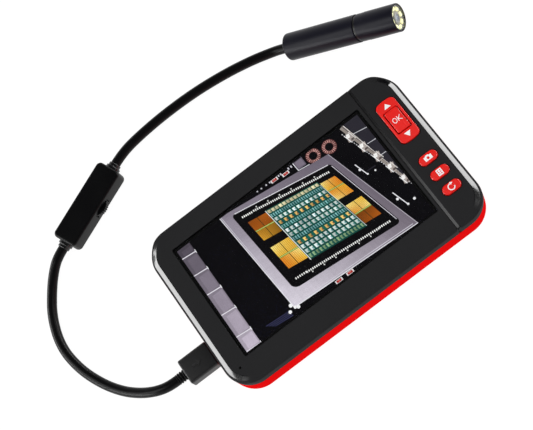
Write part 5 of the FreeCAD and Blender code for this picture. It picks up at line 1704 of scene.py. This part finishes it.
    def board_parts(self) -> None:
        """Small parts along the top and bottom, and the white printed marks."""
        for x, y, level in ((3.4, 26.0, 2), (8.8, 25.2, 2), (0.0, -26.2, 8), (5.6, -26.2, 8)):
            self.box((x - 1.7, x + 1.7), (y - 0.7, y + 0.7), level, (232, 226, 226))
            self.box((x - 1.15, x + 1.15), (y - 0.55, y + 0.5), level + 1, (168, 44, 44))
            self.box((x - 0.5, x + 0.5), (y - 0.1, y + 0.3), level + 2, (226, 120, 110))
        self.box((14.0, 18.2), (23.0, 26.9), 2, (104, 96, 110))
        self.box((14.5, 17.7), (23.5, 26.6), 3, (126, 116, 130))
        self.line((13.7, 26.9), (13.9, 22.7), 0.3, 4, (240, 240, 244))
        self.line((13.9, 22.8), (19.2, 22.0), 0.3, 4, (226, 226, 232))
        for x in (-5.2, -3.1, -0.6, 1.2, 5.9, 7.0, 11.0, 12.4):
            self.box((x - 0.3, x + 0.3), (26.1 - 0.03 * x, 26.8), 3, (206, 204, 212))
        for start, end in (((33.9, 9.7), (35.7, 2.9)), ((39.0, -10.0), (41.2, -18.2))):
            self.line(start, end, 0.42, 3, (238, 238, 242))
        for x, y, radius in ((34.2, 6.5, 0.55), (39.0, -13.5, 0.6), (39.2, 2.3, 0.4), (44.6, -17.6, 0.6),
                             (41.2, -17.9, 0.5), (35.8, 3.0, 0.4)):
            self.spot(x, y, radius, 4, (244, 244, 246))
        self.line((36.2, 4.2), (40.4, 3.9), 0.5, 2, (40, 38, 46))
        for i in range(4):
            self.line((-35.0 + i, -23.0 - 0.75 * i), (-23.4, -23.9 - 0.75 * i), 0.26, 2, (64, 66, 104))
        for x, y, radius in (
            (-23.6, -24.4, 0.8), (-21.9, -22.3, 0.9), (-19.6, -24.7, 0.8), (-20.8, -24.0, 0.7),
        ):
            self.paint(circle(radius, 7).turned(20 * x).points + (x, y), 12, (250, 250, 250))

    def package(self) -> None:
        """The package: pale lid with white edges, black field and its rulers."""
        lid = ((230, 223, 234), (120, 111, 122), (112, 103, 116), (140, 132, 145))
        self.shaded(self.lid, 6, lid, 28)
        self.patch(self.lid, (0.000, 0.005), (0, 1), 7, (240, 240, 244))
        self.patch(self.lid, (0.012, 0.016), (0, 1), 7, (214, 210, 220))
        self.patch(self.lid, (0, 1), (0.000, 0.006), 7, (244, 244, 248))
        self.patch(self.lid, (0, 0.97), (0.017, 0.022), 7, (214, 210, 220))
        self.patch(self.lid, (0.994, 0.998), (0, 1), 7, (196, 192, 200))
        field = rounded_rectangle(1.0, 1.0, 0.05, 6).points + (0.5, 0.5)
        self.paint(self.field.place(field), 8, (7, 6, 9))
        self.patch(self.field, (0.03, 0.97), (0.988, 0.998), 9, (236, 234, 240))
        self.patch(self.field, (0.985, 0.992), (0.05, 0.96), 9, (216, 212, 220))
        self.ruler((-11.2, 20.6), (19.2, 14.7), 1)
        self.ruler((-8.3, -15.0), (25.6, -18.7), -1)
        for start, end in (((-16.6, 21.3), (-12.3, 20.6)), ((19.9, 14.7), (23.4, 14.0)),
                           ((-13.6, -14.4), (-8.7, -14.8)), ((26.3, -18.6), (30.9, -19.1))):
            self.ruler(start, end, 0)

    def ruler(self, start: Spot, end: Spot, side: int) -> None:
        """A line of short ticks, with a longer one and a dot each fifth where it has a side."""
        first, last = np.array(start), np.array(end)
        count = round(float(np.linalg.norm(last - first)) / 0.92)
        for i in range(count + 1):
            x, y = first + (last - first) * i / count
            self.line((x, y - 0.44), (x, y + 0.44), 0.5, 10, (250, 250, 246))
            if side and i % 6 == 2:
                self.spot(x + 0.1, y + 1.15 * side, 0.3, 10, (230, 230, 226))
                self.line((x, y), (x, y + 0.75 * side), 0.2, 10, (200, 200, 196))

    def die(self) -> None:
        """The lit die: rows of windows on green, between two white edges."""
        self.patch(self.chip, (-0.012, 1.012), (-0.008, 1.008), 9, (18, 66, 58))
        tall = 1 / len(self.rows)
        for j, row in enumerate(self.rows):
            count, wide, bright, dark = row.value
            low = j * tall
            ground = (28, 98, 84) if j % 2 else (22, 82, 76)
            self.patch(self.chip, (0, 1), (low + 0.1 * tall, low + 0.94 * tall), 10, ground)
            for i in range(count):
                light = self.chance.uniform(0.78, 1.12)
                tone = np.array(bright) * light
                left = (i + (1 - wide) / 2) / count
                right = left + wide / count
                self.patch(self.chip, (left, right), (low + 0.18 * tall, low + 0.86 * tall), 11, tone)
                cut = left + (right - left) * 0.62
                self.patch(self.chip, (cut, right), (low + 0.24 * tall, low + 0.6 * tall), 12,
                           np.array(dark) * light)
        self.patch(self.chip, (-0.018, -0.004), (-0.01, 1.0), 12, (226, 234, 230))
        self.patch(self.chip, (1.004, 1.014), (0.0, 0.93), 12, (206, 216, 212))

    def gold(self) -> None:
        """Four gold plates of two by two panels, each shaded its own way, with green cross lines."""
        brown, rust, orange = (132, 66, 12), (184, 96, 24), (232, 136, 36)
        yellow, pale = (244, 190, 58), (255, 240, 150)
        plates = (
            (((-15.1, 7.2), (-6.6, 5.9), (-7.4, 16.6), (-16.1, 18.0)),
             ((222, 166, 52), (132, 94, 22), (142, 104, 26), (196, 136, 38)), (rust, brown, rust, brown)),
            (((-13.6, -9.1), (-4.6, -10.3), (-6.0, 2.0), (-14.7, 3.0)),
             (orange, yellow, pale, orange), (yellow, (226, 178, 70), yellow, pale)),
            (((19.2, 1.8), (26.9, 0.7), (24.5, 11.1), (17.7, 12.2)),
             (pale, orange, yellow, orange), (yellow, orange, orange, pale)),
            (((22.4, -13.4), (30.2, -14.3), (28.1, -3.0), (20.6, -2.3)),
             (brown, rust, brown, (108, 56, 14)), (orange, pale, yellow, pale)),
        )
        for corners, lower, upper in plates:
            quad = Quad(corners)
            self.shaded(quad, 9, lower, 10, (0.0, 0.5))
            self.shaded(quad, 9, upper, 10, (0.5, 1.0))
            for share in np.linspace(0.08, 0.92, 11):
                self.patch(quad, (share - 0.006, share + 0.006), (0, 1), 10, np.array(rust) * 0.9)
            self.patch(quad, (0.48, 0.52), (0, 1), 11, (84, 58, 18))
            self.patch(quad, (0, 1), (0.47, 0.53), 11, (112, 150, 44))
            self.patch(quad, (0, 1), (0.495, 0.51), 12, (232, 230, 150))

    def build(self, shop: Workshop) -> None:
        """Makes the picture as one piece and writes each plate's colour on it."""
        for stage in (self.backdrop, self.left_plates, self.right_rail, self.coils, self.board_parts,
                      self.package, self.die, self.gold):
            stage()
        mesh = bpy.data.meshes.new("screen_picture")
        mesh.from_pydata((np.vstack(self.solid.points) * MM).tolist(), [], self.solid.faces)
        tint = mesh.attributes.new("tint", "FLOAT_COLOR", "POINT")
        colours = np.vstack([np.tile((*colour, 1.0), (count, 1)) for count, colour in self.tints])
        tint.data.foreach_set("color", colours.astype(np.float32).reshape(-1))
        work = bmesh.new()
        work.from_mesh(mesh)
        bmesh.ops.recalc_face_normals(work, faces=work.faces)
        work.to_mesh(mesh)
        work.free()
        piece = bpy.data.objects.new("screen_picture", mesh)
        bpy.context.scene.collection.objects.link(piece)
        shop.add(piece, "screen_unit", Slot.DISPLAY, material=shop.special("picture_light", PictureLight()))


# ---------------------------------------------------------------- studio

@dataclass
class Studio:
    """Pale floor, soft sky, two strips low at the sides and broad boxes above."""

    floor_half: float = 3.0
    floor_colour: Colour = (0.07, 0.07, 0.07)
    floor_glow: Colour = (0.96, 0.96, 0.96)
    lens: float = 92.06
    eye: tuple[float, float, float] = (0.010167, -0.188684, 0.546498)
    right: tuple[float, float, float] = (0.79527, -0.55323, -0.24796)
    up: tuple[float, float, float] = (0.60497, 0.75077, 0.26524)
    back: tuple[float, float, float] = (0.03943, -0.36095, 0.93175)

    def floor(self) -> None:
        """A plain floor under the object, which isn't part of it."""
        solid = Solid()
        side = 2000 * self.floor_half
        prism(solid, rounded_rectangle(side, side, 500, 12).points, -4.0, -0.02)
        piece = solid.make("studio_floor")
        piece.data.materials.append(Lamp(self.floor_glow, 1.0, drift=0.01, ground=self.floor_colour)
                                    .material("studio_floor"))

    def sky(self) -> None:
        """Light from all round: bright near the horizon and dim overhead."""
        world = bpy.data.worlds.new("studio_sky")
        world.use_nodes = True
        tree = world.node_tree
        tree.nodes.clear()
        place = new_node(tree, "TexCoord").outputs["Generated"]
        height = new_node(tree, "SeparateXYZ", {"Vector": place}).outputs["Z"]
        fade = {"Value": height, "From Min": 0.05, "From Max": 0.75, "To Min": 1.0, "To Max": 0.05}
        ramp = new_node(tree, "MapRange", fade, interpolation_type="SMOOTHSTEP").outputs["Result"]
        sky = new_node(tree, "Background", {"Color": (1.0, 1.0, 1.0, 1), "Strength": ramp})
        new_node(tree, "OutputWorld", {"Surface": sky.outputs["Background"]})
        bpy.context.scene.world = world

    def panel(self, name: str, spot: Sequence[float], target: Sequence[float], size: Spot,
              radiance: float, glossy: bool = True, diffuse: bool = True) -> None:
        """An area light that faces its target; its power follows from its size and radiance.

        Args:
            name: The light's name.
            spot: Where it stands, in metres.
            target: What it faces.
            size: Its width and height.
            radiance: How bright it is.
            glossy: Whether it shows in reflections and through glass.
            diffuse: Whether it lights rough surfaces.
        """
        data = bpy.data.lights.new(name, "AREA")
        data.shape = "RECTANGLE"
        data.size, data.size_y = size
        data.energy = radiance * size[0] * size[1] * math.pi
        light = bpy.data.objects.new(name, data)
        light.location = spot
        light.rotation_mode = "QUATERNION"
        light.rotation_quaternion = (Vector(target) - Vector(spot)).to_track_quat("-Z", "Y")
        light.visible_camera = False
        light.visible_glossy = glossy
        light.visible_transmission = glossy
        light.visible_diffuse = diffuse
        bpy.context.scene.collection.objects.link(light)

    def camera(self) -> None:
        """The camera, looking down on the unit from the near side."""
        data = bpy.data.cameras.new("studio_camera")
        data.lens = self.lens
        data.sensor_width = 36.0
        eye = bpy.data.objects.new("studio_camera", data)
        turn = Matrix((self.right, self.up, self.back)).transposed()
        eye.rotation_mode = "QUATERNION"
        eye.rotation_quaternion = turn.to_quaternion()
        eye.location = self.eye
        bpy.context.scene.collection.objects.link(eye)
        bpy.context.scene.camera = eye

    def build(self) -> None:
        """Sets floor, sky, lights and camera."""
        self.floor()
        self.sky()
        self.camera()
        self.panel("strip_left", (-0.55, 0.15, 0.13), (0, 0.10, 0.01), (0.9, 0.11), 12.0, diffuse=False)
        self.panel("strip_right", (0.55, 0.15, 0.13), (0, 0.10, 0.01), (0.9, 0.11), 12.0, diffuse=False)
        self.panel("box_left", (-0.9, 0.1, 0.9), (0, 0, 0), (0.7, 0.7), 3.5)
        self.panel("box_right", (0.9, 0.0, 0.9), (0, 0, 0), (0.7, 0.7), 1.2)
        self.panel("top_soft", (0.0, 0.1, 1.6), (0, 0, 0), (1.8, 1.8), 1.5, glossy=False)
        scene = bpy.context.scene
        scene.view_settings.view_transform = "Standard"
        scene.view_settings.look = "None"


def main() -> None:
    """Builds every piece, dresses the model's own nodes and sets the studio."""
    logging.basicConfig(level=logging.INFO, format="%(message)s")
    shop = Workshop({})
    for part in (BezelShell(), KeyPad(), Plug(), Dimmer(), CameraHead(), Cable(), Picture()):
        log.info("building %s", type(part).__name__)
        part.build(shop)
    shop.dress_model()
    Studio().build()


if __name__ == "__main__":
    main()
